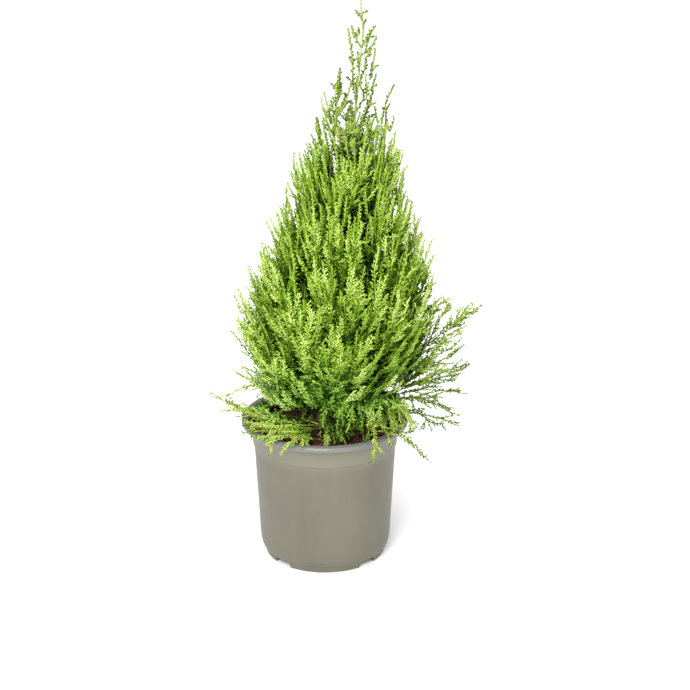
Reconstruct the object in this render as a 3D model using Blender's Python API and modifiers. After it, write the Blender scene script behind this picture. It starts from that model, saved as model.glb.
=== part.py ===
# A young golden cypress in a moulded plastic nursery pot, about 0.64 m tall.
# Metres, +Z up. The origin is the middle of the pot's flat underside.
# The trunk, the second leader and eight low boughs are plain tapering limbs. The foliage
# is a set of masses, each of which keeps to a space of its own round the trunk and is
# grown by one seeded rule: a stem, upswept plumes that leave it, and side shoots that
# stand out of each plume's slim three-sided core.

import bisect
import math
import random

import bmesh
import bpy
from mathutils import Vector

# Pot, turned: radii and heights of the real mouldings.
POT_HEIGHT = 0.165
POT_STEPS = 40
RIM_RADIUS = 0.095
RIM_INNER_RADIUS = 0.0850
COLLAR_RADIUS = 0.0824
COLLAR_FOOT_Z = 0.1352
WALL_TOP_RADIUS = 0.0806
WALL_TOP_Z = 0.1339
WALL_FOOT_RADIUS = 0.0750
WALL_FOOT_Z = 0.026
WALL_THICKNESS = 0.0021
FOOT_RADIUS = 0.0685
FOOT_WIDTH = 0.003
FOOT_HEIGHT = 0.007
BASE_DISC_RADIUS = 0.045
FLOOR_THICKNESS = 0.0022

# Drainage: four notches through the foot ring, and a hole in the floor inside each.
NOTCH_COUNT = 4
NOTCH_WIDTH = 0.022
NOTCH_HEIGHT = 0.0068
HOLE_RADIUS = 0.0045
HOLE_CENTRE_RADIUS = 0.0565

# Growing medium, which fills the pot to a little under the rim.
SOIL_TOP = 0.148
SOIL_EDGE_DROP = 0.0012
SOIL_STEPS = 24

GAP = 0.0003          # between neighbours that touch on the real plant
SPACE_MARGIN = 0.0011  # what each mass keeps off the walls of its own space
LIMB_MARGIN = 0.0012   # what plumes and shoots keep off trunk and boughs
POT_MARGIN = 0.0022    # what they keep off the pot's rim and the growing medium

# Trunk: it leans to +X and runs on through the crown.
TRUNK_FOOT = Vector((-0.005, 0.004, SOIL_TOP + GAP))
TRUNK_TOP_Z = 0.598
TRUNK_LEAN = 0.045
TRUNK_FLARE_RADIUS = 0.0078
TRUNK_RADIUS = 0.0048
TRUNK_TOP_RADIUS = 0.0013
BOUGH_RADIUS = 0.0021
BOUGH_TIP_RADIUS = 0.0015
SQUARE_START = 0.004   # every bough and stem leaves the trunk square to it, this far

# Crown: how far the outermost tips stand off the trunk's line at each height.
CROWN_REACH = (
    (0.170, 0.078), (0.215, 0.103), (0.265, 0.114), (0.310, 0.111), (0.350, 0.098),
    (0.400, 0.079), (0.450, 0.066), (0.500, 0.047), (0.545, 0.034), (0.590, 0.021),
    (0.640, 0.006),
)
CROWN_RIGHT_SHIFT = 0.010
LEADER_TIP_Z = 0.640
LOWEST_FOOT_Z = SOIL_TOP + 0.033  # where the lowest tier's stems leave the trunk

# The wall between two tiers is a bowl round the trunk: how it rises outward.
BOWL_SLOPE = 0.6
BOWL_CURVE = 8.0
# Near the trunk the lowest wall runs flatter and higher, over the low boughs.
SKIRT_Z = 0.171
SKIRT_SLOPE = 0.25

# Each tier: lower and upper wall (its level where it meets the trunk), number of masses,
# azimuth of the first in degrees, plumes in each, side shoots as a share of a plume.
TIERS = (
    ("lower", 0.100, 0.188, 6, 30.0, 6, 0.27),
    ("middle", 0.188, 0.276, 6, 40.0, 6, 0.26),
    ("upper_middle", 0.276, 0.364, 5, 46.0, 5, 0.25),
    ("upper", 0.364, 0.450, 5, 54.0, 4, 0.26),
    ("top", 0.450, 0.530, 4, 0.0, 3, 0.28),
    ("crest", 0.530, 0.600, 4, 0.0, 2, 0.28),
)

# The second leader leaves the trunk's left side and runs up beside it.
SECOND_LEADER_FOOT_Z = 0.352
SECOND_LEADER_TOP_Z = 0.490
SECOND_LEADER_TIP = Vector((0.017, -0.002, 0.565))
SECOND_LEADER_OFFSET = 0.0150
SECOND_LEADER_RADIUS = 0.0019
SECOND_LEADER_TOP_RADIUS = 0.0013

# Low masses, which sprawl over the rim, each from a bough of its own. Azimuths are in
# degrees about the pot's axis, and each spot is (azimuth, distance, height).
LOW_MASSES = (
    {"name": "low_right", "from": -22, "to": 25, "bough": (4, 0.066, 0.179),
     "foot": (4, 0.160), "tip": (2, 0.158, 0.224), "lift": 0.004, "bare": 0.36,
     "tips": ((12, 0.154, 0.195), (-8, 0.146, 0.167), (-15, 0.152, 0.200),
              (18, 0.142, 0.176))},
    {"name": "low_right_back", "from": 25, "to": 62, "bough": (42, 0.052, 0.177),
     "foot": (42, 0.1665), "tip": (43, 0.132, 0.196), "lift": 0.012, "bare": 0.25,
     "tips": ((52, 0.120, 0.172), (34, 0.122, 0.178))},
    {"name": "low_back", "from": 62, "to": 115, "bough": (88, 0.050, 0.176),
     "foot": (88, 0.160), "tip": (87, 0.122, 0.184), "lift": 0.012, "bare": 0.25,
     "tips": ((73, 0.114, 0.172), (102, 0.118, 0.160))},
    {"name": "low_left_back", "from": 115, "to": 175, "bough": (145, 0.048, 0.177),
     "foot": (145, 0.167), "tip": (147, 0.124, 0.190), "lift": 0.009, "bare": 0.25,
     "tips": ((130, 0.112, 0.174), (163, 0.116, 0.176))},
    {"name": "low_left", "from": 175, "to": 242, "bough": (221, 0.046, 0.170),
     "foot": (232, 0.159), "tip": (189, 0.1335, 0.204), "lift": 0.009, "bare": 0.1,
     "tips": ((183, 0.110, 0.172), (199, 0.112, 0.164), (237, 0.106, 0.160),
              (216, 0.112, 0.164))},
    {"name": "low_front", "from": 242, "to": 288, "bough": (268, 0.026, 0.171),
     "foot": (266, 0.1675), "tip": (272, 0.060, 0.1535), "lift": 0.005, "bare": 0.1,
     "tips": ((256, 0.056, 0.156), (281, 0.063, 0.158))},
    {"name": "low_right_front", "from": 288, "to": 338, "bough": (312, 0.044, 0.176),
     "foot": (314, 0.160), "tip": (333, 0.134, 0.142), "lift": 0.016, "bare": 0.2,
     "tips": ((302, 0.104, 0.150), (316, 0.112, 0.160), (328, 0.118, 0.166))},
)
LOW_LEVEL_TOP = TIERS[0][1]
# The long spray that stands out of the crown on the right, above the low mass there.
LONG_SPRAY = {
    "foot": (0, 0.174), "bough": (0, 0.092, 0.2195), "tip": (0, 0.176, 0.297),
    "lift": -0.004, "bare": 0.15, "tips": ((13, 0.137, 0.298), (-9, 0.148, 0.253)),
}
LONG_SPRAY_FLOOR = (0.195, 0.52, 0.070)  # its space's floor: height, slope, distance

PLUME_SEGMENT = 0.018
PLUME_RADIUS = 0.0014
PLUME_TIP_RADIUS = 0.0007
SHOOT_LEAN = 42.0  # degrees between a side shoot and its plume
LONGEST_SHOOT = 0.034
SHOOT_ROOM = 0.0038  # what a side shoot keeps off the other plumes of its mass

COLOURS = {
    "pot": (0.30, 0.29, 0.23, 1.0),
    "soil": (0.075, 0.030, 0.016, 1.0),
    "bark": (0.19, 0.11, 0.06, 1.0),
    "foliage": (0.30, 0.50, 0.07, 1.0),
}

for item in list(bpy.data.objects):
    bpy.data.objects.remove(item, do_unlink=True)


def new_collection(name):
    collection = bpy.data.collections.new(name)
    bpy.context.scene.collection.children.link(collection)
    return collection


plant = new_collection("PottedCypress")
cutters = new_collection("Cutters")


def material(name, colour, roughness):
    made = bpy.data.materials.new(name)
    made.use_nodes = True
    shader = made.node_tree.nodes["Principled BSDF"]
    shader.inputs["Base Color"].default_value = colour
    shader.inputs["Roughness"].default_value = roughness
    shader.inputs["Metallic"].default_value = 0.0
    return made


MATERIALS = {
    "pot": material("MouldedPlastic", COLOURS["pot"], 0.5),
    "soil": material("BarkMulch", COLOURS["soil"], 0.95),
    "bark": material("Bark", COLOURS["bark"], 0.85),
    "foliage": material("Foliage", COLOURS["foliage"], 0.6),
}


def add_object(name, mesh, look, collection):
    made = bpy.data.objects.new(name, mesh)
    collection.objects.link(made)
    if look:
        mesh.materials.append(MATERIALS[look])
    return made


# Turned pieces

def turned(name, profile, steps, look):
    mesh = bpy.data.meshes.new(name)
    edges = [(i, i + 1) for i in range(len(profile) - 1)]
    mesh.from_pydata([(r, 0.0, z) for r, z in profile], edges, [])
    made = add_object(name, mesh, look, plant)
    screw = made.modifiers.new("Turn", "SCREW")
    screw.axis = "Z"
    screw.steps = steps
    screw.render_steps = steps
    screw.use_merge_vertices = True
    screw.merge_threshold = 0.00005
    screw.use_smooth_shade = True
    return made


def pot_profile():
    top = POT_HEIGHT
    inner_foot = WALL_FOOT_RADIUS - WALL_THICKNESS - 0.0006
    channel = FOOT_HEIGHT + FLOOR_THICKNESS
    inside = [
        (0.0, FLOOR_THICKNESS),
        (BASE_DISC_RADIUS - 0.0012, FLOOR_THICKNESS),
        (BASE_DISC_RADIUS + 0.001, channel),
        (inner_foot - 0.004, channel),
        (inner_foot, channel + 0.007),
        (WALL_TOP_RADIUS - WALL_THICKNESS, WALL_TOP_Z - 0.002),
        (COLLAR_RADIUS - WALL_THICKNESS, COLLAR_FOOT_Z + 0.001),
        (COLLAR_RADIUS - WALL_THICKNESS + 0.001, top - 0.018),
    ]
    lip = [
        (RIM_INNER_RADIUS, top - 0.0050),
        (RIM_INNER_RADIUS + 0.0012, top - 0.0014),
        (RIM_INNER_RADIUS + 0.0038, top),
        (RIM_RADIUS - 0.0026, top - 0.0004),
        (RIM_RADIUS - 0.0006, top - 0.0020),
        (RIM_RADIUS, top - 0.0044),
        (RIM_RADIUS - 0.0008, top - 0.0062),
    ]
    outside = [
        (RIM_RADIUS - 0.0042, top - 0.0080),
        (COLLAR_RADIUS + 0.0036, top - 0.0124),
        (COLLAR_RADIUS + 0.0007, top - 0.0196),
        (COLLAR_RADIUS, COLLAR_FOOT_Z),
        (WALL_TOP_RADIUS, WALL_TOP_Z),
        (WALL_FOOT_RADIUS, WALL_FOOT_Z),
    ]
    # The rounded edge between the wall and the foot ring.
    edge_radius, edge_height = WALL_FOOT_RADIUS - FOOT_RADIUS, WALL_FOOT_Z - FOOT_HEIGHT
    steps = 3
    for i in range(1, steps + 1):
        turn = math.radians(90.0 * i / steps)
        outside.append((
            WALL_FOOT_RADIUS - edge_radius * (1.0 - math.cos(turn)) * 0.93,
            WALL_FOOT_Z - edge_height * math.sin(turn),
        ))
    under = [
        (FOOT_RADIUS, 0.0),
        (FOOT_RADIUS - FOOT_WIDTH, 0.0),
        (FOOT_RADIUS - FOOT_WIDTH - 0.0005, FOOT_HEIGHT),
        (BASE_DISC_RADIUS + 0.0022, FOOT_HEIGHT),
        (BASE_DISC_RADIUS, 0.0),
        (0.0, 0.0),
    ]
    return inside + lip + outside + under


def pot_inside_radius(z):
    # Inner radius of the pot at a height between its floor and its lip.
    inside = pot_profile()[3:8]
    for (r0, z0), (r1, z1) in zip(inside, inside[1:]):
        if z0 <= z <= z1:
            return r0 + (r1 - r0) * (z - z0) / (z1 - z0)
    return inside[-1][0]


def cutter(name, mesh):
    made = add_object(name, mesh, None, cutters)
    made.hide_render = True
    made.display_type = "WIRE"
    return made


def cut(target, tool):
    boolean = target.modifiers.new("Cut", "BOOLEAN")
    boolean.operation = "DIFFERENCE"
    boolean.solver = "EXACT"
    boolean.object = tool


def build_pot():
    pot = turned("pot", pot_profile(), POT_STEPS, "pot")
    for i in range(NOTCH_COUNT):
        turn = math.radians(45.0 + 360.0 * i / NOTCH_COUNT)
        out = Vector((math.cos(turn), math.sin(turn), 0.0))

        box = bmesh.new()
        bmesh.ops.create_cube(box, size=1.0)
        bmesh.ops.scale(box, vec=(FOOT_WIDTH * 4.0, NOTCH_WIDTH, NOTCH_HEIGHT * 2.0),
                        verts=box.verts)
        mesh = bpy.data.meshes.new("notch")
        box.to_mesh(mesh)
        box.free()
        notch = cutter(f"notch_{i + 1}", mesh)
        notch.location = out * (FOOT_RADIUS - FOOT_WIDTH * 0.4)
        notch.rotation_euler = (0.0, 0.0, turn)
        cut(pot, notch)

        drill = bmesh.new()
        bmesh.ops.create_cone(drill, cap_ends=True, segments=12, radius1=HOLE_RADIUS,
                              radius2=HOLE_RADIUS, depth=0.012)
        mesh = bpy.data.meshes.new("drill")
        drill.to_mesh(mesh)
        drill.free()
        hole = cutter(f"drill_{i + 1}", mesh)
        hole.location = out * HOLE_CENTRE_RADIUS + Vector((0.0, 0.0, FOOT_HEIGHT))
        cut(pot, hole)
    return pot


def build_soil():
    channel = FOOT_HEIGHT + FLOOR_THICKNESS + GAP
    edge_z = SOIL_TOP - SOIL_EDGE_DROP
    lower_z = channel + 0.0072
    # The turned wall's flats lie a little inside its corners.
    flats = 1.0 - math.cos(math.pi / POT_STEPS)
    side = [(pot_inside_radius(z) * (1.0 - flats) - GAP, z)
            for z in (edge_z, COLLAR_FOOT_Z + 0.001, WALL_TOP_Z - 0.002, lower_z)]
    profile = [(0.0, SOIL_TOP), (0.045, SOIL_TOP)]
    profile += side
    profile += [
        (side[-1][0] - 0.0046, channel),
        (BASE_DISC_RADIUS + 0.0006, channel),
        (BASE_DISC_RADIUS - 0.0018, FLOOR_THICKNESS + GAP),
        (0.0, FLOOR_THICKNESS + GAP),
    ]
    return turned("growing_medium", profile, SOIL_STEPS, "soil")


# Limbs

def trunk_point(z):
    # The trunk's line: it leans to +X more and more, with a slight sway.
    share = (z - TRUNK_FOOT.z) / (LEADER_TIP_Z - TRUNK_FOOT.z)
    share = min(max(share, 0.0), 1.0)
    return Vector((
        TRUNK_FOOT.x + TRUNK_LEAN * share ** 1.05,
        TRUNK_FOOT.y - 0.006 * share + 0.0025 * math.sin(2.0 * math.pi * share),
        z,
    ))


def trunk_radius(z):
    share = (z - TRUNK_FOOT.z) / (TRUNK_TOP_Z - TRUNK_FOOT.z)
    share = min(max(share, 0.0), 1.0)
    flare = math.exp(-(z - TRUNK_FOOT.z) / 0.009)
    plain = TRUNK_RADIUS + (TRUNK_TOP_RADIUS - TRUNK_RADIUS) * share ** 0.9
    return plain + (TRUNK_FLARE_RADIUS - TRUNK_RADIUS) * flare


def bezier(a, b, c, count):
    # Points along a quadratic curve from a to c, drawn towards b.
    out = []
    for i in range(count + 1):
        t = i / count
        out.append(a * (1 - t) ** 2 + b * 2 * t * (1 - t) + c * t ** 2)
    return out


limbs = []  # (points, radii) of every limb, which the foliage keeps clear of


def limb(name, points, radii, sides):
    # One tapering limb: a curve with a radius at each point and filled ends.
    data = bpy.data.curves.new(name, "CURVE")
    data.dimensions = "3D"
    data.bevel_depth = 1.0
    data.bevel_resolution = sides
    data.resolution_u = 1
    data.use_fill_caps = True
    spline = data.splines.new("POLY")
    spline.points.add(len(points) - 1)
    for target, point, radius in zip(spline.points, points, radii):
        target.co = (*point, 1.0)
        target.radius = radius
    made = bpy.data.objects.new(name, data)
    plant.objects.link(made)
    data.materials.append(MATERIALS["bark"])
    limbs.append((points, radii))
    return made


def build_trunk():
    rows = 14
    heights = [TRUNK_FOOT.z + h for h in (0.0, 0.003, 0.008, 0.016)]
    first = heights[-1]
    heights += [first + (TRUNK_TOP_Z - first) * i / rows for i in range(1, rows + 1)]
    points = [trunk_point(z) for z in heights]
    points[1].x, points[1].y = points[0].x, points[0].y  # a level cut at the soil
    return limb("trunk", points, [trunk_radius(z) for z in heights], 2)


def outward(azimuth):
    return Vector((math.cos(azimuth), math.sin(azimuth), 0.0))


def polar(spot):
    # A point from (azimuth in degrees, distance, height) about the pot's axis.
    azimuth, distance, height = spot
    return outward(math.radians(azimuth)) * distance + Vector((0.0, 0.0, height))


def from_trunk(height, azimuth):
    # A limb's or stem's first two points: level and square to the trunk, GAP off it.
    out = outward(azimuth)
    foot = trunk_point(height) + out * (trunk_radius(height) + GAP)
    return [foot, foot + out * SQUARE_START]


def bough(name, foot, control, tip, radius, tip_radius):
    # A limb that leaves the trunk's surface and ends where its mass begins.
    azimuth, height = foot
    points = from_trunk(height, azimuth)
    points = points[:1] + bezier(points[1], control, tip, 6)
    last = len(points) - 1
    radii = [radius + (tip_radius - radius) * i / last for i in range(last + 1)]
    limb(name, points, radii, 1)
    return points


def nearest(point, points, radii):
    # Distance from a point to a limb's surface.
    best = 1.0
    for i in range(len(points) - 1):
        a, b = points[i], points[i + 1]
        line = b - a
        t = min(max((point - a).dot(line) / line.length_squared, 0.0), 1.0)
        radius = radii[i] + (radii[i + 1] - radii[i]) * t
        best = min(best, (point - a - line * t).length - radius)
    return best


# The space of each mass

def crown_reach(z, azimuth):
    # How far the crown's tips stand off the trunk's line at a height and azimuth.
    heights = [h for h, _ in CROWN_REACH]
    i = min(max(bisect.bisect_right(heights, z), 1), len(heights) - 1)
    (z0, r0), (z1, r1) = CROWN_REACH[i - 1], CROWN_REACH[i]
    share = min(max((z - z0) / (z1 - z0), 0.0), 1.0)
    reach = r0 + (r1 - r0) * share
    return reach + CROWN_RIGHT_SHIFT * math.cos(azimuth) * min(reach / 0.1, 1.0)


def round_trunk(point):
    # (distance, azimuth) of a point about the trunk's line, at the point's height.
    off = point - trunk_point(point.z)
    return math.hypot(off.x, off.y), math.atan2(off.y, off.x)


def turn_between(a, b):
    return (a - b + math.pi) % (2.0 * math.pi) - math.pi


def bowl_rise(distance):
    return BOWL_SLOPE * distance + BOWL_CURVE * distance ** 2


def wall_height(level, distance):
    # Height of the wall that starts at a level, at a distance from the trunk.
    height = level + bowl_rise(distance)
    if level == TIERS[0][1]:
        height = max(height, SKIRT_Z + SKIRT_SLOPE * distance)
    return height


def tier_space(low, high, middle, half_width):
    # A slice of one tier: between two bowls round the trunk and two upright planes.
    def inside(point):
        distance, azimuth = round_trunk(point)
        floor, roof = wall_height(low, distance), wall_height(high, distance)
        side = abs(turn_between(azimuth, middle))
        off_plane = distance * math.sin(min(half_width - side, math.pi / 2))
        return (floor + SPACE_MARGIN < point.z < roof - SPACE_MARGIN
                and off_plane > SPACE_MARGIN and clear_of_pot(point))
    return inside


def clear_of_pot(point):
    radius = math.hypot(point.x, point.y)
    if radius < RIM_INNER_RADIUS - POT_MARGIN:
        return point.z > SOIL_TOP + POT_MARGIN
    if radius < RIM_RADIUS + POT_MARGIN:
        return point.z > POT_HEIGHT + POT_MARGIN
    return True


def clear_of_limbs(point, margin=LIMB_MARGIN):
    return all(nearest(point, points, radii) > margin for points, radii in limbs)


# Growth

def swept(start, target, out_share=0.68, up_share=0.36):
    # An upswept line: it sets off flatter than its chord and ends steeper.
    chord = target - start
    control = start + Vector((chord.x * out_share, chord.y * out_share,
                              chord.z * up_share))
    return bezier(start, control, target, max(4, round(chord.length / PLUME_SEGMENT)))


def arched(start, target, lift):
    # A line that stands off its chord by lift, and bends over under its own weight.
    chord = target - start
    control = start + chord * 0.48 + Vector((0.0, 0.0, 2.0 * lift))
    return bezier(start, control, target, max(4, round(chord.length / PLUME_SEGMENT)))


def carried_on(limb_points, target):
    # A stem that sets off as the limb under it ends, GAP clear of the limb's flat end.
    along = (limb_points[-1] - limb_points[-2]).normalized()
    start = limb_points[-1] + along * GAP
    chord = target - start
    control = start + along * chord.length * 0.45
    count = max(3, round(chord.length / PLUME_SEGMENT))
    return [start] + bezier(start + along * 0.003, control, target, count)


def kept_part(path, inside, free_points=1):
    # The path up to where it would leave its space or touch a limb.
    kept = path[:free_points]
    for a, b in zip(path[free_points - 1:], path[free_points:]):
        for t in (0.33, 0.67, 1.0):
            spot = a.lerp(b, t)
            if not inside(spot) or not clear_of_limbs(spot):
                return kept
        kept.append(b)
    return kept


def side_directions(path):
    # Two directions square to the path at each point, carried along without twist.
    tangents = []
    for i in range(len(path)):
        a, b = path[max(i - 1, 0)], path[min(i + 1, len(path) - 1)]
        tangents.append((b - a).normalized())
    first = tangents[0].cross(Vector((0.31, -0.17, 0.94))).normalized()
    across = [first]
    for tangent in tangents[1:]:
        flat = across[-1] - tangent * across[-1].dot(tangent)
        across.append(flat.normalized())
    return tangents, across, [t.cross(a) for t, a in zip(tangents, across)]


def shoot_length(share, plume_length, shoot_share):
    # Side shoots are longest a third of the way up a plume and short at its tip.
    rise = min(share / 0.3, 1.0) ** 0.5
    fall = 1.0 - 0.72 * max(share - 0.3, 0.0) / 0.7
    return min(shoot_share * plume_length, LONGEST_SHOOT) * rise * fall


def crowded(spots, taken, own):
    # True where one of the spots is close to a line of another plume of the mass.
    for plume_number, a, b in taken:
        if plume_number == own:
            continue
        line = b - a
        for spot in spots:
            t = min(max((spot - a).dot(line) / line.length_squared, 0.0), 1.0)
            if (spot - a - line * t).length < SHOOT_ROOM:
                return True
    return False


def plume(path, rng, inside, shoot_share, bare, radius, taken, own):
    # A slim three-sided core along the path. Between two of its rings, each side has
    # one triangle drawn out to the tip of a side shoot, where that stays in the space.
    tangents, across, square = side_directions(path)
    last = len(path) - 1
    length = sum((b - a).length for a, b in zip(path, path[1:]))
    rings = []
    for i in range(last):
        size = radius + (PLUME_TIP_RADIUS - radius) * i / last
        rings.append([
            path[i] + (across[i] * math.cos(turn) + square[i] * math.sin(turn)) * size
            for turn in (math.radians(90.0 + 120.0 * k) for k in range(3))
        ])
    made = bmesh.new()
    verts = [[made.verts.new(p) for p in ring] for ring in rings]
    tip = made.verts.new(path[-1])
    made.faces.new((verts[0][2], verts[0][1], verts[0][0]))
    for i in range(last):
        for k in range(3):
            n = (k + 1) % 3
            if i == last - 1:
                base = (verts[i][k], verts[i][n], tip)
                rest = None
            else:
                base = (verts[i][k], verts[i][n], verts[i + 1][k])
                rest = (verts[i][n], verts[i + 1][n], verts[i + 1][k])
            # Every shoot draws its numbers, kept or not, so the rest stay as they are.
            stretch, swing, lean = rng.uniform(0.75, 1.15), rng.gauss(0, 18), rng.gauss(0, 6)
            share = (i + 0.2 + 0.27 * k) / last
            turn = math.radians(90.0 + 120.0 * k + 60.0 + swing)
            out = across[i] * math.cos(turn) + square[i] * math.sin(turn)
            tilt = math.radians(SHOOT_LEAN + lean - 10.0 * share)
            reach = shoot_length(share, length, shoot_share) * stretch
            middle = (base[0].co + base[1].co + base[2].co) / 3.0
            end = middle + (out * math.sin(tilt) + tangents[i] * math.cos(tilt)) * reach
            spots = [middle.lerp(end, t) for t in (0.25, 0.5, 0.75, 1.0)]
            grows = (rest and share > bare and reach > 0.004
                     and all(inside(spot) and clear_of_limbs(spot) for spot in spots)
                     and not crowded(spots, taken, own))
            if grows:
                taken.append((own, middle, end))
                point = made.verts.new(end)
                for a, b in ((0, 1), (1, 2), (2, 0)):
                    made.faces.new((base[a], base[b], point))
            else:
                made.faces.new(base)
            if rest:
                made.faces.new(rest)
    bmesh.ops.recalc_face_normals(made, faces=made.faces)
    mesh = bpy.data.meshes.new("plume")
    made.to_mesh(mesh)
    made.free()
    return mesh


def fused(name, meshes):
    # The stem's own plume, with the others joined to it by one union.
    others = new_collection(name + "_plumes")
    for i, mesh in enumerate(meshes[1:]):
        add_object(f"{name}_plume_{i}", mesh, None, others)
    made = add_object(name, meshes[0], "foliage", plant)
    if len(meshes) > 1:
        union = made.modifiers.new("Union", "BOOLEAN")
        union.operation = "UNION"
        union.operand_type = "COLLECTION"
        union.collection = others
        union.solver = "EXACT"
        graph = bpy.context.evaluated_depsgraph_get()
        joined = bpy.data.meshes.new_from_object(made.evaluated_get(graph))
        made.modifiers.remove(union)
        made.data = joined
        joined.materials.clear()
        joined.materials.append(MATERIALS["foliage"])
    for item in list(others.objects):
        bpy.data.objects.remove(item, do_unlink=True)
    bpy.data.collections.remove(others)
    largest_piece(made)
    return made


def largest_piece(made):
    # Drops any loose scrap and fills any hollow that the union sealed off.
    work = bmesh.new()
    work.from_mesh(made.data)
    left, pieces = set(work.faces), []
    while left:
        seed = left.pop()
        piece, edge = [seed], [seed]
        while edge:
            face = edge.pop()
            for side in face.edges:
                for other in side.link_faces:
                    if other in left:
                        left.discard(other)
                        piece.append(other)
                        edge.append(other)
        pieces.append(piece)
    pieces.sort(key=len)
    for piece in pieces[:-1]:
        bmesh.ops.delete(work, geom=piece, context="FACES")
    bmesh.ops.delete(work, geom=[v for v in work.verts if not v.link_faces],
                     context="VERTS")
    work.to_mesh(made.data)
    work.free()


def grow_mass(name, stem, targets, inside, seed, shoot_share, bare=0.1, lift=None):
    # stem: path of the mass's own stem. targets: (share of the stem at which a plume
    # leaves it, the point it grows towards).
    stem = kept_part(stem, inside, 2)
    paths = [stem]
    for share, target in targets:
        at = share * (len(stem) - 1)
        i = min(int(at), len(stem) - 2)
        start = stem[i].lerp(stem[i + 1], at - i)
        path = swept(start, target) if lift is None else arched(start, target, lift)
        paths.append(kept_part(path, inside))
    taken = [(n, a, b) for n, path in enumerate(paths) for a, b in zip(path, path[1:])]
    meshes = []
    for n, path in enumerate(paths):
        if len(path) < (4 if n else 3):
            continue
        meshes.append(plume(path, random.Random(seed + 10007 * n), inside, shoot_share,
                            0.1 if n else bare, PLUME_RADIUS * (1.0 if n else 1.15),
                            taken, n))
    return fused(name, meshes)


def level_point(level, azimuth, depth):
    # The point of the crown's outline (or at a share of its reach) at a tier level.
    low, high = CROWN_REACH[0][0], LEADER_TIP_Z
    for _ in range(30):
        z = (low + high) / 2.0
        if z - bowl_rise(crown_reach(z, azimuth)) < level:
            low = z
        else:
            high = z
    reach = crown_reach(z, azimuth) * depth
    out = Vector((math.cos(azimuth), math.sin(azimuth), 0.0))
    height = level + bowl_rise(reach)
    return trunk_point(height) + out * reach


def tier_targets(low, rise, middle, half, plumes, rng):
    # Where the side plumes of one mass end: spread over its part of the outline, and
    # every fourth one further in.
    targets = []
    sides = plumes - 1
    for k in range(sides):
        spread = ((k + 1) * 0.618034) % 1.0 - 0.5
        step = ((2 * k + 1) % sides + 0.5) / sides
        level = low + rise * (0.12 + 0.76 * step + rng.uniform(-0.05, 0.05))
        inner = k % 4 == 3
        depth = rng.uniform(0.3, 0.4) if inner else rng.uniform(0.88, 1.05)
        targets.append((0.08 if inner else 0.10 + 0.45 * k / sides,
                        level_point(level, middle + spread * 1.86 * half, depth)))
    return targets


def build_tiers(second_leader):
    for tier, (label, low, high, count, first, plumes, shoot_share) in enumerate(TIERS):
        half = math.pi / count
        number = 0
        for n in range(count):
            middle = math.radians(first) + 2.0 * half * n
            seed = 100 * (tier + 1) + n
            rng = random.Random(seed + 5)
            if count == 4 and n == 2:
                # The second leader's mass takes the left quarter of the two top tiers.
                if label == "top":
                    inside = tier_space(low, TIERS[-1][2], middle, half)
                    targets = tier_targets(low, high - low, middle, half, plumes, rng)
                    grow_mass("second_leader_mass",
                              carried_on(second_leader, SECOND_LEADER_TIP),
                              targets, inside, seed, shoot_share, 0.0)
                continue
            number += 1
            inside = tier_space(low, high, middle, half)
            rise = high - low
            foot_z = max(low + rise * rng.uniform(0.12, 0.26), LOWEST_FOOT_Z + 0.003 * (n % 2))
            foot = from_trunk(foot_z, middle)
            end = level_point(low + rise * rng.uniform(0.5, 0.66), middle,
                              rng.uniform(0.94, 1.04))
            grow_mass(f"{label}_mass_{number}", foot[:1] + swept(foot[1], end),
                      tier_targets(low, rise, middle, half, plumes, rng), inside,
                      seed, shoot_share)


def low_space(start, end, above=None, below=None):
    # A slice under the lowest tier's wall, over the rim and the growing medium.
    middle, half = math.radians((start + end) / 2.0), math.radians((end - start) / 2.0)
    slice_of = tier_space(-1.0, LOW_LEVEL_TOP, middle, half)
    floor_z, slope, floor_distance = LONG_SPRAY_FLOOR

    def inside(point):
        floor = floor_z + slope * (math.hypot(point.x, point.y) - floor_distance)
        return (slice_of(point)
                and not (above and point.z < floor + SPACE_MARGIN)
                and not (below and point.z > floor - SPACE_MARGIN))
    return inside


def low_bough(entry, name):
    azimuth, height = entry["foot"]
    tip = polar(entry["bough"])
    start = from_trunk(height, math.radians(azimuth))[1]
    control = start.lerp(tip, 0.5) + Vector((0.0, 0.0, 0.004))
    return bough(name, (math.radians(azimuth), height), control, tip,
                 BOUGH_RADIUS, BOUGH_TIP_RADIUS)


def build_low_masses(boughs, long_bough):
    for n, (entry, points) in enumerate(zip(LOW_MASSES, boughs)):
        right = entry["name"] == "low_right"
        inside = low_space(entry["from"], entry["to"], below=right)
        targets = [(0.24 + 0.36 * k / len(entry["tips"]), polar(tip))
                   for k, tip in enumerate(entry["tips"])]
        grow_mass(entry["name"] + "_mass", carried_on(points, polar(entry["tip"])),
                  targets, inside, 900 + n, 0.26, entry["bare"], entry["lift"])
    inside = low_space(LOW_MASSES[0]["from"], LOW_MASSES[0]["to"], above=True)
    targets = [(0.1 + 0.1 * k, polar(tip)) for k, tip in enumerate(LONG_SPRAY["tips"])]
    grow_mass("long_spray_mass", carried_on(long_bough, polar(LONG_SPRAY["tip"])),
              targets, inside, 950, 0.24, LONG_SPRAY["bare"], LONG_SPRAY["lift"])


def build_second_leader():
    left = math.pi
    start = from_trunk(SECOND_LEADER_FOOT_Z, left)[1]
    top = trunk_point(SECOND_LEADER_TOP_Z) + outward(left) * SECOND_LEADER_OFFSET
    control = Vector((start.x - 0.009, start.y, start.z + 0.022))
    return bough("second_leader", (left, SECOND_LEADER_FOOT_Z), control, top,
                 SECOND_LEADER_RADIUS, SECOND_LEADER_TOP_RADIUS)


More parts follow.
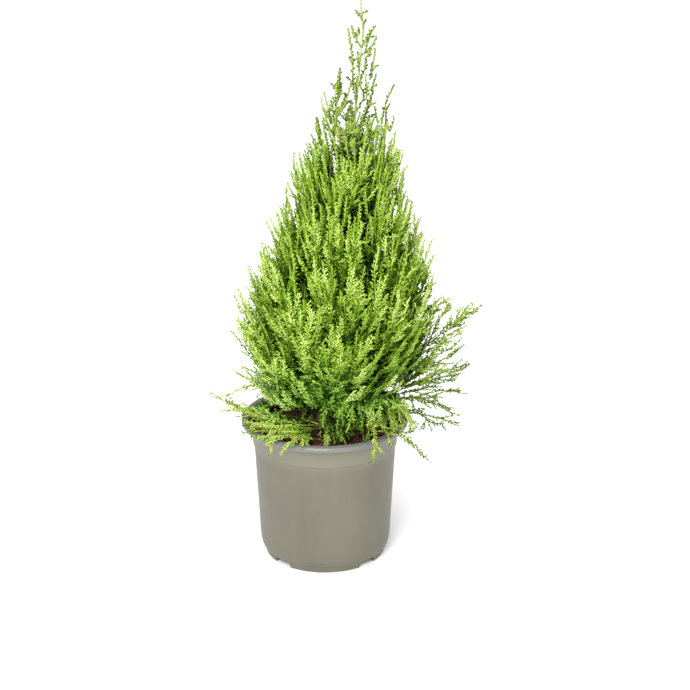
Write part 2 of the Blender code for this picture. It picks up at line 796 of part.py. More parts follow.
def build_leader_mass():
    top = trunk_point(TRUNK_TOP_Z)
    below = trunk_point(TRUNK_TOP_Z - 0.01)
    tip = trunk_point(LEADER_TIP_Z)
    tip.z = LEADER_TIP_Z

    def inside(point):
        distance, _ = round_trunk(point)
        return point.z - bowl_rise(distance) > TIERS[-1][2] + SPACE_MARGIN
    grow_mass("leader_mass", carried_on([below, top], tip), [], inside, 970, 0.36, 0.0)


build_pot()
build_soil()
build_trunk()
second_leader_points = build_second_leader()
low_bough_points = [low_bough(entry, entry["name"] + "_bough") for entry in LOW_MASSES]
long_bough_points = low_bough(LONG_SPRAY, "long_spray_bough")
build_tiers(second_leader_points)
build_low_masses(low_bough_points, long_bough_points)
build_leader_mass()
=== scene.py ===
# A young golden cypress in a moulded nursery pot: everything that the eye sees.
# Metres, +Z up. The origin is the middle of the pot's underside, and the camera is on the -Y side.
# The foliage grows by the solids' own rule (stem, upswept plumes, side shoots) and goes on
# to finer shoots, twiglets and awl-shaped needles. Twigs that the photo shows one by one are
# drawn where they stand in it.

import math
import random

import bpy
import numpy as np
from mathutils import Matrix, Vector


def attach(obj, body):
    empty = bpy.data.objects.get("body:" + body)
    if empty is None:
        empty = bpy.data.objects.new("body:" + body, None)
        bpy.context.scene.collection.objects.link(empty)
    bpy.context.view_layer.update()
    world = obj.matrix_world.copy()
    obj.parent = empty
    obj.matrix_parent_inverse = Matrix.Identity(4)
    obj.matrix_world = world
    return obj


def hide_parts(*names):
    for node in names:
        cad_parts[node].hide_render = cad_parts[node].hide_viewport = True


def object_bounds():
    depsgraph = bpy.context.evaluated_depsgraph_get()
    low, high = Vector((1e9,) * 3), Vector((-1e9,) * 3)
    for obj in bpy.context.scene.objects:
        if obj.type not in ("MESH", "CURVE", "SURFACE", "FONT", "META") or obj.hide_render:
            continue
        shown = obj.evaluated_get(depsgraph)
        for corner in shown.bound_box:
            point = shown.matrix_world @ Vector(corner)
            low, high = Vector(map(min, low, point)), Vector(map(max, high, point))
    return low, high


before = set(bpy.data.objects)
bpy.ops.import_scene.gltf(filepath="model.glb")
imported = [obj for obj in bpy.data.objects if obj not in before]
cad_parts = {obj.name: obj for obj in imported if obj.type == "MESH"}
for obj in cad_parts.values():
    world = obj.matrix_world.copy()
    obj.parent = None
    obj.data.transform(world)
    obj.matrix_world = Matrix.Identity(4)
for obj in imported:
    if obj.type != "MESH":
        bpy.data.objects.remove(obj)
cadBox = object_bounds()
print("frame:", len(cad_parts), "nodes")


# General tools

goldenTurn = 2.399963  # the golden angle
upward = np.array([0, 0, 1.0])
seeded = np.random.default_rng


def linear(hexColour):
    # sRGB to linear light: c / 12.92 up to 0.04045, above it ((c + 0.055) / 1.055) ^ 2.4.
    channels = [int(hexColour[i:i + 2], 16) / 255 for i in (1, 3, 5)]
    bent = [c / 12.92 if c <= 0.04045 else ((c + 0.055) / 1.055) ** 2.4 for c in channels]
    return (*bent, 1.0)


def newMaterial(name, values):
    made = bpy.data.materials.new(name)
    made.use_nodes = True
    shader = made.node_tree.nodes["Principled BSDF"]
    for socket, value in values.items():
        shader.inputs[socket].default_value = value
    return made, made.node_tree, shader


def addNode(tree, kind, values=None, links=None, **settings):
    # A node with its own settings, values on its sockets, and links into its sockets.
    node = tree.nodes.new("ShaderNode" + kind)
    for key, value in settings.items():
        setattr(node, key, value)
    for socket, value in (values or {}).items():
        node.inputs[socket].default_value = value
    for socket, source in (links or {}).items():
        tree.links.new(source, node.inputs[socket])
    return node


def addPlace(tree):
    return addNode(tree, "TexCoord").outputs["Object"]


def drawnOut(tree, place, scale):
    # A pattern on this place is drawn out upward.
    return addNode(tree, "Mapping", {"Scale": (1.0, 1.0, scale)}, {"Vector": place}).outputs["Vector"]


def addNoise(tree, place, scale, detail, rough=0.5):
    return addNode(tree, "TexNoise", {"Scale": scale, "Detail": detail, "Roughness": rough},
                   {"Vector": place}).outputs["Fac"]


def addRange(tree, source, **ends):
    return addNode(tree, "MapRange", {key.replace("M", " M"): value for key, value in ends.items()},
                   {"Value": source}).outputs["Result"]


def addBump(tree, shader, height, strength, distance):
    bump = addNode(tree, "Bump", {"Strength": strength, "Distance": distance}, {"Height": height})
    tree.links.new(bump.outputs["Normal"], shader.inputs["Normal"])


def addRamp(tree, source, stops):
    # A colour ramp through (place, hex colour) stops.
    ramp = addNode(tree, "ValToRGB", links={"Fac": source})
    marks = ramp.color_ramp.elements
    while len(marks) < len(stops):
        marks.new(0.5)
    for mark, (place, colour) in zip(marks, stops):
        mark.position = place
        mark.color = linear(colour)
    return ramp.outputs["Color"]


def meshFrom(name, points, faceSets):
    # faceSets: arrays of vertex numbers, one face to a row.
    mesh = bpy.data.meshes.new(name)
    corners = np.concatenate([faces.ravel() for faces in faceSets])
    sizes = np.concatenate([np.full(len(faces), faces.shape[1]) for faces in faceSets])
    mesh.vertices.add(len(points))
    mesh.vertices.foreach_set("co", points.astype(np.float32).ravel())
    mesh.loops.add(len(corners))
    mesh.loops.foreach_set("vertex_index", corners.astype(np.int32))
    mesh.polygons.add(len(sizes))
    mesh.polygons.foreach_set("loop_start", (np.cumsum(sizes) - sizes).astype(np.int32))
    mesh.update(calc_edges=True)
    return mesh


def addObject(name, data):
    made = bpy.data.objects.new(name, data)
    bpy.context.scene.collection.objects.link(made)
    return made


def addPiece(mesh, materials, replaced, smooth=True, looks=None):
    # looks: each face's place in the list of materials.
    piece = addObject(mesh.name, mesh)
    for material in materials:
        mesh.materials.append(material)
    if looks is not None:
        mesh.polygons.foreach_set("material_index", looks.astype(np.int32))
    mesh.polygons.foreach_set("use_smooth", np.full(len(mesh.polygons), smooth))
    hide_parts(*replaced)
    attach(piece, "root")
    return piece


def unit(vectors):
    return vectors / np.maximum(np.linalg.norm(vectors, axis=-1, keepdims=True), 1e-12)


def levelWays(azimuth):
    # The level directions at many azimuths.
    return np.stack([np.cos(azimuth), np.sin(azimuth), np.zeros(len(azimuth))], -1)


def turnsOf(count):
    return np.arange(count) * 2 * math.pi / count


def swung(u, v, turn):
    # From u towards v: u cos turn + v sin turn.
    return u * np.cos(turn)[..., None] + v * np.sin(turn)[..., None]


def rising(value, start, width):
    # 0 up to the start, 1 from a width past it, straight between; a negative width falls.
    return np.clip((value - start) / width, 0, 1)


def partRising(value, amount, start, width):
    return amount * rising(value, start, width)


def runAlong(path):
    # The length of the path up to each of its points.
    return np.concatenate([[0], np.cumsum(np.linalg.norm(np.diff(path, axis=0), axis=1))])


def resampled(path, count):
    # The same path with its points spread evenly along it.
    run = runAlong(path)
    even = np.linspace(0, run[-1], count)
    return np.stack([np.interp(even, run, path[:, k]) for k in range(3)], -1)


def lengthOf(lines):
    return np.linalg.norm(np.diff(lines, axis=-2), axis=-1).sum(-1)


def tubeFaces(rows, sides):
    # The walls and the two ends of a tube whose points stand in rows of so many sides.
    i, j = np.meshgrid(np.arange(rows - 1), np.arange(sides), indexing="ij")
    a, b = i * sides + j, i * sides + (j + 1) % sides
    quads = np.stack([a, b, b + sides, a + sides], -1).reshape(-1, 4)
    return quads, np.stack([np.arange(sides)[::-1], (rows - 1) * sides + np.arange(sides)])


def manyTubes(count, rows, sides):
    # The faces of many tubes whose points follow one another.
    number = np.arange(count)[:, None, None] * rows * sides
    return [(number + faces).reshape(-1, faces.shape[1]) for faces in tubeFaces(rows, sides)]


def wave(places, seed, count=9):
    # Soft noise between about -1 and 1: a sum of sines along fixed random directions.
    rng = seeded(seed)
    pull = rng.normal(size=(count, places.shape[-1]))
    turn = rng.uniform(0, 2 * math.pi, count)
    return np.sin(places @ pull.T + turn).sum(-1) / math.sqrt(count)


# Pot: polypropylene, injection moulded with a fine matt grain. The eye sees a warm grey
# with a soft broad sheen, faint upright flow marks and a smoother, lighter rolled lip.

potForm = {
    "height": 0.165, "rim": 0.095, "rimInner": 0.085, "collar": 0.0824, "collarFoot": 0.1352,
    "wallTop": 0.0806, "wallTopZ": 0.1339, "wallFoot": 0.0750, "wallFootZ": 0.026,
    "wall": 0.0021, "foot": 0.0685, "footWidth": 0.003, "footHeight": 0.007,
    "disc": 0.045, "floor": 0.0022, "steps": 288,
    "notches": 4, "notchWidth": 0.022, "notchHeight": 0.0068, "holeRadius": 0.0045,
    "holeRing": 0.0565, "holeSides": 24, "drillHeights": (0.003, 0.013),
}


def potProfile(p):
    # (radius, height) from the middle of the floor up the inside, over the lip and down.
    top, channel, rim, collar = p["height"], p["footHeight"] + p["floor"], p["rim"], p["collar"]
    wallTop, wallFoot, foot, disc = p["wallTop"], p["wallFoot"], p["foot"], p["disc"]
    innerFoot = wallFoot - p["wall"] - 0.0006
    inside = [
        (0.0, p["floor"]), (disc - 0.0012, p["floor"]), (disc + 0.001, channel),
        (innerFoot - 0.004, channel), (innerFoot, channel + 0.007),
        (wallTop - p["wall"], p["wallTopZ"] - 0.002),
        (collar - p["wall"], p["collarFoot"] + 0.001),
        (collar - p["wall"] + 0.001, top - 0.018),
    ]
    lip = [
        (p["rimInner"], top - 0.0052), (p["rimInner"] + 0.0007, top - 0.0014),
        (p["rimInner"] + 0.0030, top), (rim - 0.0034, top - 0.0003),
        (rim - 0.0006, top - 0.0014), (rim + 0.0002, top - 0.0040),
        (rim - 0.0004, top - 0.0064), (rim - 0.0016, top - 0.0067),
        (rim - 0.0020, top - 0.0066),
    ]
    outside = [
        (rim - 0.0046, top - 0.0078), (collar + 0.0042, top - 0.0112),
        (collar + 0.0013, top - 0.0172), (collar + 0.0003, top - 0.0240),
        (collar, p["collarFoot"] + 0.0004), (collar - 0.0003, p["collarFoot"] - 0.0004),
        (wallTop + 0.0002, p["wallTopZ"] + 0.0001), (wallTop, p["wallTopZ"] - 0.0008),
        (wallFoot, p["wallFootZ"]),
    ]
    # The rounded edge between the wall and the foot ring, a quarter of an ellipse.
    turn = np.radians([20, 42, 64, 84])
    edge = np.stack([
        wallFoot - (wallFoot - foot) * (1 - np.cos(turn)) * 0.93,
        p["wallFootZ"] - (p["wallFootZ"] - p["footHeight"]) * np.sin(turn)], -1)
    under = [
        (foot + 0.0004, 0.0050), (foot, 0.0008), (foot - 0.0006, 0.0),
        (foot - p["footWidth"], 0.0),
        (foot - p["footWidth"] - 0.0005, p["footHeight"]),
        (disc + 0.0022, p["footHeight"]), (disc, 0.0), (0.0, 0.0),
    ]
    return np.concatenate([inside, lip, outside, edge, under])


def rounded(profile, passes):
    # Corner cutting: each corner gives way to points a quarter along both its sides.
    for _ in range(passes):
        a, b = profile[:-1], profile[1:]
        cut = np.stack([a * 0.75 + b * 0.25, a * 0.25 + b * 0.75], 1).reshape(-1, 2)
        profile = np.concatenate([profile[:1], cut[1:-1], profile[-1:]])
    return profile


def turnedMesh(name, profile, steps, bend):
    # point(turn, row) = (r cos turn, r sin turn, z), with one vertex at each pole.
    turn = turnsOf(steps)
    radius, height = profile[1:-1, 0], profile[1:-1, 1]
    rows = len(radius)
    grid = np.stack([
        np.cos(turn)[:, None] * radius, np.sin(turn)[:, None] * radius,
        np.broadcast_to(height, (steps, rows))], -1)
    grid = bend(grid, turn)
    poles = np.array([[0, 0, profile[0, 1]], [0, 0, profile[-1, 1]]])
    points = np.concatenate([grid.reshape(-1, 3), poles])
    i, j = np.meshgrid(np.arange(steps), np.arange(rows - 1), indexing="ij")
    a, b = i * rows + j, (i + 1) % steps * rows + j
    quads = np.stack([a, a + 1, b + 1, b], -1).reshape(-1, 4)
    i = np.arange(steps)
    after = (i + 1) % steps
    first = np.stack([i * rows, after * rows, np.full(steps, steps * rows)], -1)
    last = np.stack([after * rows + rows - 1, i * rows + rows - 1,
                     np.full(steps, steps * rows + 1)], -1)
    return meshFrom(name, points, [quads, first, last])


def notched(p):
    def bend(grid, turn):
        # Foot ring points rise to the notches' roof where the turn is inside a notch.
        middle = (turn - math.radians(45)) % (2 * math.pi / p["notches"])
        middle = np.minimum(middle, 2 * math.pi / p["notches"] - middle)
        inNotch = middle < p["notchWidth"] / 2 / p["foot"]
        radius = np.linalg.norm(grid[..., :2], axis=-1)
        ring = inNotch[:, None] & (radius > p["foot"] - 2 * p["footWidth"])
        low = grid[..., 2] < p["notchHeight"]
        grid[..., 2] = np.where(ring & low, p["notchHeight"], grid[..., 2])
        return grid
    return bend


def potMaterial():
    made, tree, shader = newMaterial("polypropyleneMouldedMatt", {"IOR": 1.49})
    place = addPlace(tree)
    # Flow marks 20 to 40 mm wide, drawn out up the wall, and cloudy handling marks.
    flow = addNoise(tree, drawnOut(tree, place, 0.12), 34.0, 4.0, 0.55)
    cloud = addNoise(tree, place, 16.0, 6.0, 0.62)
    mixed = addNode(tree, "Math", None, {0: flow, 1: cloud}, operation="ADD")
    half = addNode(tree, "Math", {1: 0.5}, {0: mixed.outputs[0]}, operation="MULTIPLY")
    wall = addRamp(tree, half.outputs[0], [(0.36, "#585548"), (0.5, "#5d5a4c"), (0.64, "#615e50")])
    # The collar is painted a little paler than the wall below it: painted light where the lip's overhang
    # shades it.
    height = addNode(tree, "SeparateXYZ", links={"Vector": place}).outputs["Z"]
    paintedLightCollar = addRange(tree, height, FromMin=0.126, FromMax=0.137, ToMax=0.22)
    wall = addNode(tree, "Mix", {"B": linear("#8d8b7c")}, {"Factor": paintedLightCollar, "A": wall},
                   data_type="RGBA").outputs["Result"]
    # The lip is smoother than the grained wall, and its colour is painted greyer and lighter: a painted
    # reflection of the pale surroundings.
    lip = addRange(tree, height, FromMin=0.156, FromMax=0.1595)
    colour = addNode(tree, "Mix", {"B": linear("#666763")}, {"Factor": lip, "A": wall},
                     data_type="RGBA")
    tree.links.new(colour.outputs["Result"], shader.inputs["Base Color"])
    # Dust and scuffs make the gloss uneven.
    rough = addRange(tree, addNoise(tree, place, 60.0, 5.0, 0.6), ToMin=0.40, ToMax=0.56)
    smooth = addNode(tree, "Math", {1: -0.20}, {0: lip}, operation="MULTIPLY")
    gloss = addNode(tree, "Math", None, {0: rough, 1: smooth.outputs[0]}, operation="ADD")
    tree.links.new(gloss.outputs[0], shader.inputs["Roughness"])
    # Spark-eroded mould grain of about 0.6 mm, drawn coarser than life so that it shows.
    addBump(tree, shader, addNoise(tree, place, 900.0, 2.0), 0.12, 0.0003)
    return made


def innerWallPaintedShadeMaterial():
    # Painted shade inside the pot: the wall is painted near black and dull, in faint upright streaks.
    made, tree, shader = newMaterial("polypropyleneInnerWallPaintedShade",
                                     {"Roughness": 0.85, "Specular IOR Level": 0.25})
    paintedShadeStreaks = addNoise(tree, drawnOut(tree, addPlace(tree), 0.2), 120.0, 5.0, 0.6)
    tree.links.new(addRamp(tree, paintedShadeStreaks, [(0.35, "#0c0b09"), (0.65, "#181612")]),
                   shader.inputs["Base Color"])
    return made


def buildPot():
    p = potForm
    mesh = turnedMesh("pot_shell", rounded(potProfile(p), 2), p["steps"], notched(p))
    pot = addPiece(mesh, [potMaterial()], ["pot"])
    # Drain holes through the floor, one inside each notch.
    turn = np.radians(45 + 360 * np.arange(p["notches"]) / p["notches"])
    around = np.linspace(0, 2 * math.pi, p["holeSides"], endpoint=False)
    ring = np.stack([np.cos(around), np.sin(around)], -1) * p["holeRadius"]
    centres = np.stack([np.cos(turn), np.sin(turn)], -1) * p["holeRing"]
    rims = centres[:, None] + ring[None]
    points = np.stack([np.concatenate([rims, np.full((*rims.shape[:2], 1), height)], -1)
                       for height in p["drillHeights"]], 1)
    tool = addObject("drills", meshFrom("drills", points.reshape(-1, 3),
                                        manyTubes(p["notches"], 2, p["holeSides"])))
    cut = pot.modifiers.new("Drains", "BOOLEAN")
    cut.operation = "DIFFERENCE"
    cut.solver = "EXACT"
    cut.object = tool
    bpy.context.view_layer.update()
    graph = bpy.context.evaluated_depsgraph_get()
    cutMesh = bpy.data.meshes.new_from_object(pot.evaluated_get(graph))
    pot.modifiers.remove(cut)
    pot.data = cutMesh
    cutMesh.name = "pot_shell"
    cutMesh.set_sharp_from_angle(angle=math.radians(38))
    # The painted shade covers the faces that look inwards below the lip.
    count = len(cutMesh.polygons)
    middle, normal = np.empty(count * 3, np.float32), np.empty(count * 3, np.float32)
    cutMesh.polygons.foreach_get("center", middle)
    cutMesh.polygons.foreach_get("normal", normal)
    middle, normal = middle.reshape(-1, 3), normal.reshape(-1, 3)
    inward = (middle[:, :2] * normal[:, :2]).sum(1) < -0.3 * np.hypot(middle[:, 0], middle[:, 1])
    paintedShadeFaces = inward & (middle[:, 2] > 0.02) & (middle[:, 2] < p["height"] - 0.0045)
    cutMesh.materials.append(innerWallPaintedShadeMaterial())
    cutMesh.polygons.foreach_set("material_index", paintedShadeFaces.astype(np.int32))
    bpy.data.objects.remove(tool)
    return pot


# Growing medium: damp composted bark. The eye sees a dark crumbly bed with red-brown
# splinters lying on it at all angles.

mulchForm = {
    "radius": 0.0796, "top": 0.1472, "edgeDrop": 0.0016, "depth": 0.024, "rings": 64, "steps": 160,
    "chips": 620, "longest": 0.0170, "shortest": 0.0045, "trunkRoom": 0.0110,
    "chipSides": 8, "chipRings": 6, "knock": 0.11, "width": (0.13, 0.28), "thick": (0.0005, 0.0013),
    "squareness": 0.6, "tip": 0.16, "roll": 0.25, "lies": (0.0006, 0.0016), "wallRoom": 0.0008,
}


def mulchMaterial(name, stops, scale):
    made, tree, shader = newMaterial(name, {"Roughness": 0.82, "Specular IOR Level": 0.35})
    place = addPlace(tree)
    patches = addNode(tree, "TexVoronoi", {"Scale": scale}, {"Vector": place})
    grey = addNode(tree, "SeparateColor", links={"Color": patches.outputs["Color"]})
    fine = addNoise(tree, place, scale * 4.0, 6.0, 0.7)
    mixed = addNode(tree, "Mix", {"Factor": 0.45}, {"A": grey.outputs["Red"], "B": fine},
                    data_type="FLOAT")
    tree.links.new(addRamp(tree, mixed.outputs["Result"], stops), shader.inputs["Base Color"])
    addBump(tree, shader, fine, 0.7, 0.0008)
    return made


def buildMulch():
    m = mulchForm
    rng = seeded(41)
    # The bed: a disc whose height is a gentle dome plus soft and fine noise, with its side
    # and underside closed.
    share = np.linspace(0, 1, m["rings"])[1:]
    radius = np.concatenate([share * m["radius"], [m["radius"], m["radius"]]])
    height = m["top"] - m["edgeDrop"] * radius ** 2 / m["radius"] ** 2
    height[-2:] = m["top"] - m["depth"] * 0.5, m["top"] - m["depth"]
    profile = np.concatenate([[[0.0, m["top"]]], np.stack([radius, height], -1),
                              [[0.0, m["top"] - m["depth"]]]])[::-1]

    def rough(grid, turn):
        lumps = wave(grid[..., :2] * 260, 3) * 0.0006 + wave(grid[..., :2] * 900, 4) * 0.0004
        top = grid[..., 2] > m["top"] - m["edgeDrop"] * 1.01
        grid[..., 2] += np.where(top, lumps, 0)
        return grid
    bedLook = mulchMaterial("bedOfCompostedBark",
                            [(0.25, "#120b08"), (0.5, "#2a1710"), (0.72, "#45251a")], 240.0)
    mesh = turnedMesh("mulch_bed", profile, m["steps"], rough)
    mesh.flip_normals()
    addPiece(mesh, [bedLook], ["growing_medium"])

    # A chip: a rounded bar with every corner knocked about.
    count, sides, rings = m["chips"], m["chipSides"], m["chipRings"]
    around = turnsOf(sides)
    along = np.linspace(-1, 1, rings)
    bulge = np.sqrt(np.clip(1.02 - along ** 4, 0.12, 1))
    template = np.stack([np.broadcast_to(along[:, None], (rings, sides)), *(
        bulge[:, None] * np.sign(way) * np.abs(way) ** m["squareness"]
        for way in (np.cos(around), np.sin(around)))], -1)
    length = m["shortest"] + (m["longest"] - m["shortest"]) * rng.random(count) ** 2.2
    size = np.stack([length / 2, length * rng.uniform(*m["width"], count),
                     rng.uniform(*m["thick"], count)], -1)
    chips = template[None] + rng.normal(0, m["knock"], (count, rings, sides, 3))
    chips = chips * size[:, None, None]
    heading, tip, roll = (rng.uniform(0, 2 * math.pi, count), rng.normal(0, m["tip"], count),
                          rng.normal(0, m["roll"], count))
    ex = np.stack([np.cos(heading) * np.cos(tip), np.sin(heading) * np.cos(tip), np.sin(tip)], -1)
    side = unit(np.cross(upward, ex))
    ey = swung(side, np.cross(ex, side), roll)
    ez = np.cross(ex, ey)
    frameOf = np.stack([ex, ey, ez], 1)
    room = m["radius"] - length / 2 - m["wallRoom"]
    distance = room * np.sqrt(rng.random(count))
    azimuth = rng.uniform(0, 2 * math.pi, count)
    foot = np.stack([distance * np.cos(azimuth), distance * np.sin(azimuth),
                     m["top"] + m["lies"][0] + rng.random(count) * m["lies"][1]], -1)
    away = np.linalg.norm(foot[:, :2] - trunkForm["foot"][:2], axis=1)
    kept = away > m["trunkRoom"] + length / 2
    chips = np.einsum("nrsk,nkj->nrsj", chips, frameOf) + foot[:, None, None]
    chips = chips[kept]
    chipLook = mulchMaterial("splinteredPineBark", [(0.2, "#1c0f0a"), (0.42, "#43231a"),
                                                    (0.6, "#6b3a27"), (0.8, "#8f5a3d")], 130.0)
    mesh = meshFrom("mulch_chips", chips.reshape(-1, 3), manyTubes(len(chips), rings, sides))
    addPiece(mesh, [chipLook], ["growing_medium"], smooth=False)
    print("mulch:", len(chips), "chips")


# The solids' sizes, which the plant grows on from

trunkForm = {
    "foot": np.array([-0.005, 0.004, 0.1483]), "topZ": 0.598, "lean": 0.045, "tipZ": 0.640,
    "flare": 0.0078, "radius": 0.0048, "topRadius": 0.0013,
}
crownReachAt = np.array([
    (0.170, 0.078), (0.215, 0.103), (0.265, 0.114), (0.310, 0.111), (0.350, 0.098),
    (0.400, 0.079), (0.450, 0.066), (0.500, 0.047), (0.545, 0.034), (0.590, 0.021),
    (0.640, 0.006)])
crownForm = {
    "rightShift": 0.010, "lowestFoot": 0.181, "bowlSlope": 0.6, "bowlCurve": 8.0,
    "skirtZ": 0.171, "skirtSlope": 0.25, "gap": 0.0003, "spaceMargin": 0.0011,
    "limbMargin": 0.0012, "potMargin": 0.0022, "squareStart": 0.004,
}
# Each tier: lower and upper wall, number of masses, first azimuth, plumes, shoots' share.
tiers = (
    ("lower", 0.100, 0.188, 6, 30.0, 6, 0.27),
    ("middle", 0.188, 0.276, 6, 40.0, 6, 0.26),
    ("upper_middle", 0.276, 0.364, 5, 46.0, 5, 0.25),
    ("upper", 0.364, 0.450, 5, 54.0, 4, 0.26),
    ("top", 0.450, 0.530, 4, 0.0, 3, 0.28),
    ("crest", 0.530, 0.600, 4, 0.0, 2, 0.28),
)
secondForm = {"footZ": 0.352, "topZ": 0.490, "tip": np.array([0.017, -0.002, 0.565]),
              "offset": 0.0150, "radius": 0.0019, "topRadius": 0.0013}
boughForm = {"radius": 0.0021, "tipRadius": 0.0015}
# Low masses: azimuths in degrees about the pot, and spots as (azimuth, distance, height).
# Unseen plumes are those whose place the twigs drawn one by one take.
lowMasses = (
    {"name": "low_right", "unseen": (0, 1, 2, 3, 4), "from": -22, "to": 25, "bough": (4, 0.066, 0.179),
     "foot": (4, 0.160), "tip": (2, 0.158, 0.224), "lift": 0.004, "bare": 0.36,
     "tips": ((12, 0.154, 0.195), (-8, 0.146, 0.167), (-15, 0.152, 0.200),
              (18, 0.142, 0.176))},
    {"name": "low_right_back", "from": 25, "to": 62, "bough": (42, 0.052, 0.177),
     "foot": (42, 0.1665), "tip": (43, 0.132, 0.196), "lift": 0.012, "bare": 0.25,
     "tips": ((52, 0.120, 0.172), (34, 0.122, 0.178))},
    {"name": "low_back", "from": 62, "to": 115, "bough": (88, 0.050, 0.176),
     "foot": (88, 0.160), "tip": (87, 0.122, 0.184), "lift": 0.012, "bare": 0.25,
     "tips": ((73, 0.114, 0.172), (102, 0.118, 0.160))},
    {"name": "low_left_back", "from": 115, "to": 175, "bough": (145, 0.048, 0.177),
     "foot": (145, 0.167), "tip": (147, 0.124, 0.190), "lift": 0.009, "bare": 0.25,
     "tips": ((130, 0.112, 0.174), (163, 0.116, 0.176))},
    {"name": "low_left", "unseen": (2, 4), "from": 175, "to": 242, "bough": (221, 0.046, 0.170),
     "foot": (232, 0.159), "tip": (189, 0.1335, 0.204), "lift": 0.009, "bare": 0.1,
     "tips": ((183, 0.110, 0.172), (199, 0.112, 0.164), (237, 0.106, 0.160),
              (216, 0.112, 0.164))},
    {"name": "low_front", "unseen": (0, 1, 2), "from": 242, "to": 288, "bough": (268, 0.026, 0.171),
     "foot": (266, 0.1675), "tip": (272, 0.060, 0.1535), "lift": 0.005, "bare": 0.1,
     "tips": ((256, 0.056, 0.156), (281, 0.063, 0.158))},
    {"name": "low_right_front", "unseen": (0, 1, 2, 3), "from": 288, "to": 338, "bough": (312, 0.044, 0.176),
     "foot": (314, 0.160), "tip": (333, 0.134, 0.142), "lift": 0.016, "bare": 0.2,
     "tips": ((302, 0.104, 0.150), (316, 0.112, 0.160), (328, 0.118, 0.166))},
)
longSpray = {
    "from": -22, "to": 25, "foot": (0, 0.174), "bough": (0, 0.092, 0.2195), "tip": (0, 0.176, 0.297),
    "lift": -0.004, "bare": 0.15, "unseen": (0, 1, 2), "tips": ((13, 0.137, 0.298), (-9, 0.148, 0.253)),
    "floor": (0.195, 0.52, 0.070),
}
shootForm = {"segment": 0.018, "lean": 42.0, "longest": 0.034, "core": 0.0014, "coreTip": 0.0007}


# Limbs

def trunkPoint(z):
    # x grows with the share of the height to the power 1.05; y falls and sways by one sine.
    foot = trunkForm["foot"]
    z = np.asarray(z, float)
    share = np.clip((z - foot[2]) / (trunkForm["tipZ"] - foot[2]), 0, 1)
    return np.stack([foot[0] + trunkForm["lean"] * share ** 1.05,
                     foot[1] - 0.006 * share + 0.0025 * np.sin(2 * math.pi * share), z], -1)


def trunkRadius(z):
    # A taper by the share of the height to the power 0.9, plus a flare that dies out upward.
    t, foot = trunkForm, trunkForm["foot"]
    share = np.clip((z - foot[2]) / (t["topZ"] - foot[2]), 0, 1)
    flare = np.exp(-(z - foot[2]) / 0.009)
    return t["radius"] + (t["topRadius"] - t["radius"]) * share ** 0.9 \
        + (t["flare"] - t["radius"]) * flare


def bezier(a, b, c, count):
    # From a to c, drawn towards b: a (1 - t)^2 + 2 b t (1 - t) + c t^2.
    t = np.linspace(0, 1, count + 1)[:, None]
    return a * (1 - t) ** 2 + b * 2 * t * (1 - t) + c * t ** 2


def outward(azimuth):
    return np.array([math.cos(azimuth), math.sin(azimuth), 0.0])


def polar(spot):
    azimuth, distance, height = spot
    return outward(math.radians(azimuth)) * distance + np.array([0.0, 0.0, height])


def fromTrunk(height, azimuth):
    # The first two points of a limb or stem, level and square to the trunk.
    foot = trunkPoint(height) + outward(azimuth) * (trunkRadius(height) + crownForm["gap"])
    return [foot, foot + outward(azimuth) * crownForm["squareStart"]]


def boughLine(azimuth, height, control, tip, radius, tipRadius):
    first, second = fromTrunk(height, azimuth)
    points = np.concatenate([[first], bezier(second, control, tip, 6)])
    return points, np.linspace(radius, tipRadius, len(points))


def trunkLine():
    foot = trunkForm["foot"]
    heights = np.concatenate([foot[2] + np.array([0.0, 0.003, 0.008]),
                              np.linspace(foot[2] + 0.016, trunkForm["topZ"], 15)])
    return trunkPoint(heights), trunkRadius(heights)


def lowBoughLine(entry):
    azimuth, height = math.radians(entry["foot"][0]), entry["foot"][1]
    tip = polar(entry["bough"])
    start = fromTrunk(height, azimuth)[1]
    control = (start + tip) / 2 + np.array([0.0, 0.0, 0.004])
    return boughLine(azimuth, height, control, tip, boughForm["radius"], boughForm["tipRadius"])


def secondLeaderLine():
    start = fromTrunk(secondForm["footZ"], math.pi)[1]
    top = trunkPoint(secondForm["topZ"]) + outward(math.pi) * secondForm["offset"]
    control = start + np.array([-0.009, 0.0, 0.022])
    return boughLine(math.pi, secondForm["footZ"], control, top,
                     secondForm["radius"], secondForm["topRadius"])


limbLines = {"trunk": trunkLine(), "second_leader": secondLeaderLine()}
for entry in lowMasses:
    limbLines[entry["name"] + "_bough"] = lowBoughLine(entry)
limbLines["long_spray_bough"] = lowBoughLine(longSpray)
limbStart, limbStep, limbRadius, limbTaper = (np.concatenate(part) for part in zip(*(
    (points[:-1], np.diff(points, axis=0), radii[:-1], np.diff(radii))
    for points, radii in limbLines.values())))


def clearOfLimbs(spots, margin):
    # Each spot's distance to the nearest point of every limb segment, less its radius there.
    off = spots[:, None] - limbStart[None]
    t = np.clip((off * limbStep).sum(-1) / (limbStep ** 2).sum(-1), 0, 1)
    gap = np.linalg.norm(off - limbStep * t[..., None], axis=-1) - limbRadius - limbTaper * t
    return gap.min(1) > margin


# The space of each mass

def crownReach(z, azimuth):
    reach = np.interp(z, *crownReachAt.T)
    return reach + crownForm["rightShift"] * np.cos(azimuth) * np.minimum(reach / 0.1, 1)


def roundTrunk(spots):
    off = spots - trunkPoint(spots[:, 2])
    return np.hypot(off[:, 0], off[:, 1]), np.arctan2(off[:, 1], off[:, 0])


def bowlRise(distance):
    return crownForm["bowlSlope"] * distance + crownForm["bowlCurve"] * distance ** 2


def wallHeight(level, distance):
    height = level + bowlRise(distance)
    if level == tiers[0][1]:
        height = np.maximum(height, crownForm["skirtZ"] + crownForm["skirtSlope"] * distance)
    return height


def clearOfPot(spots):
    radius, margin = np.hypot(spots[:, 0], spots[:, 1]), crownForm["potMargin"]
    overMulch = (radius < potForm["rimInner"] - margin) & (spots[:, 2] < 0.148 + margin)
    overLip = ((radius >= potForm["rimInner"] - margin) & (radius < potForm["rim"] + margin)
               & (spots[:, 2] < potForm["height"] + margin))
    return ~(overMulch | overLip)


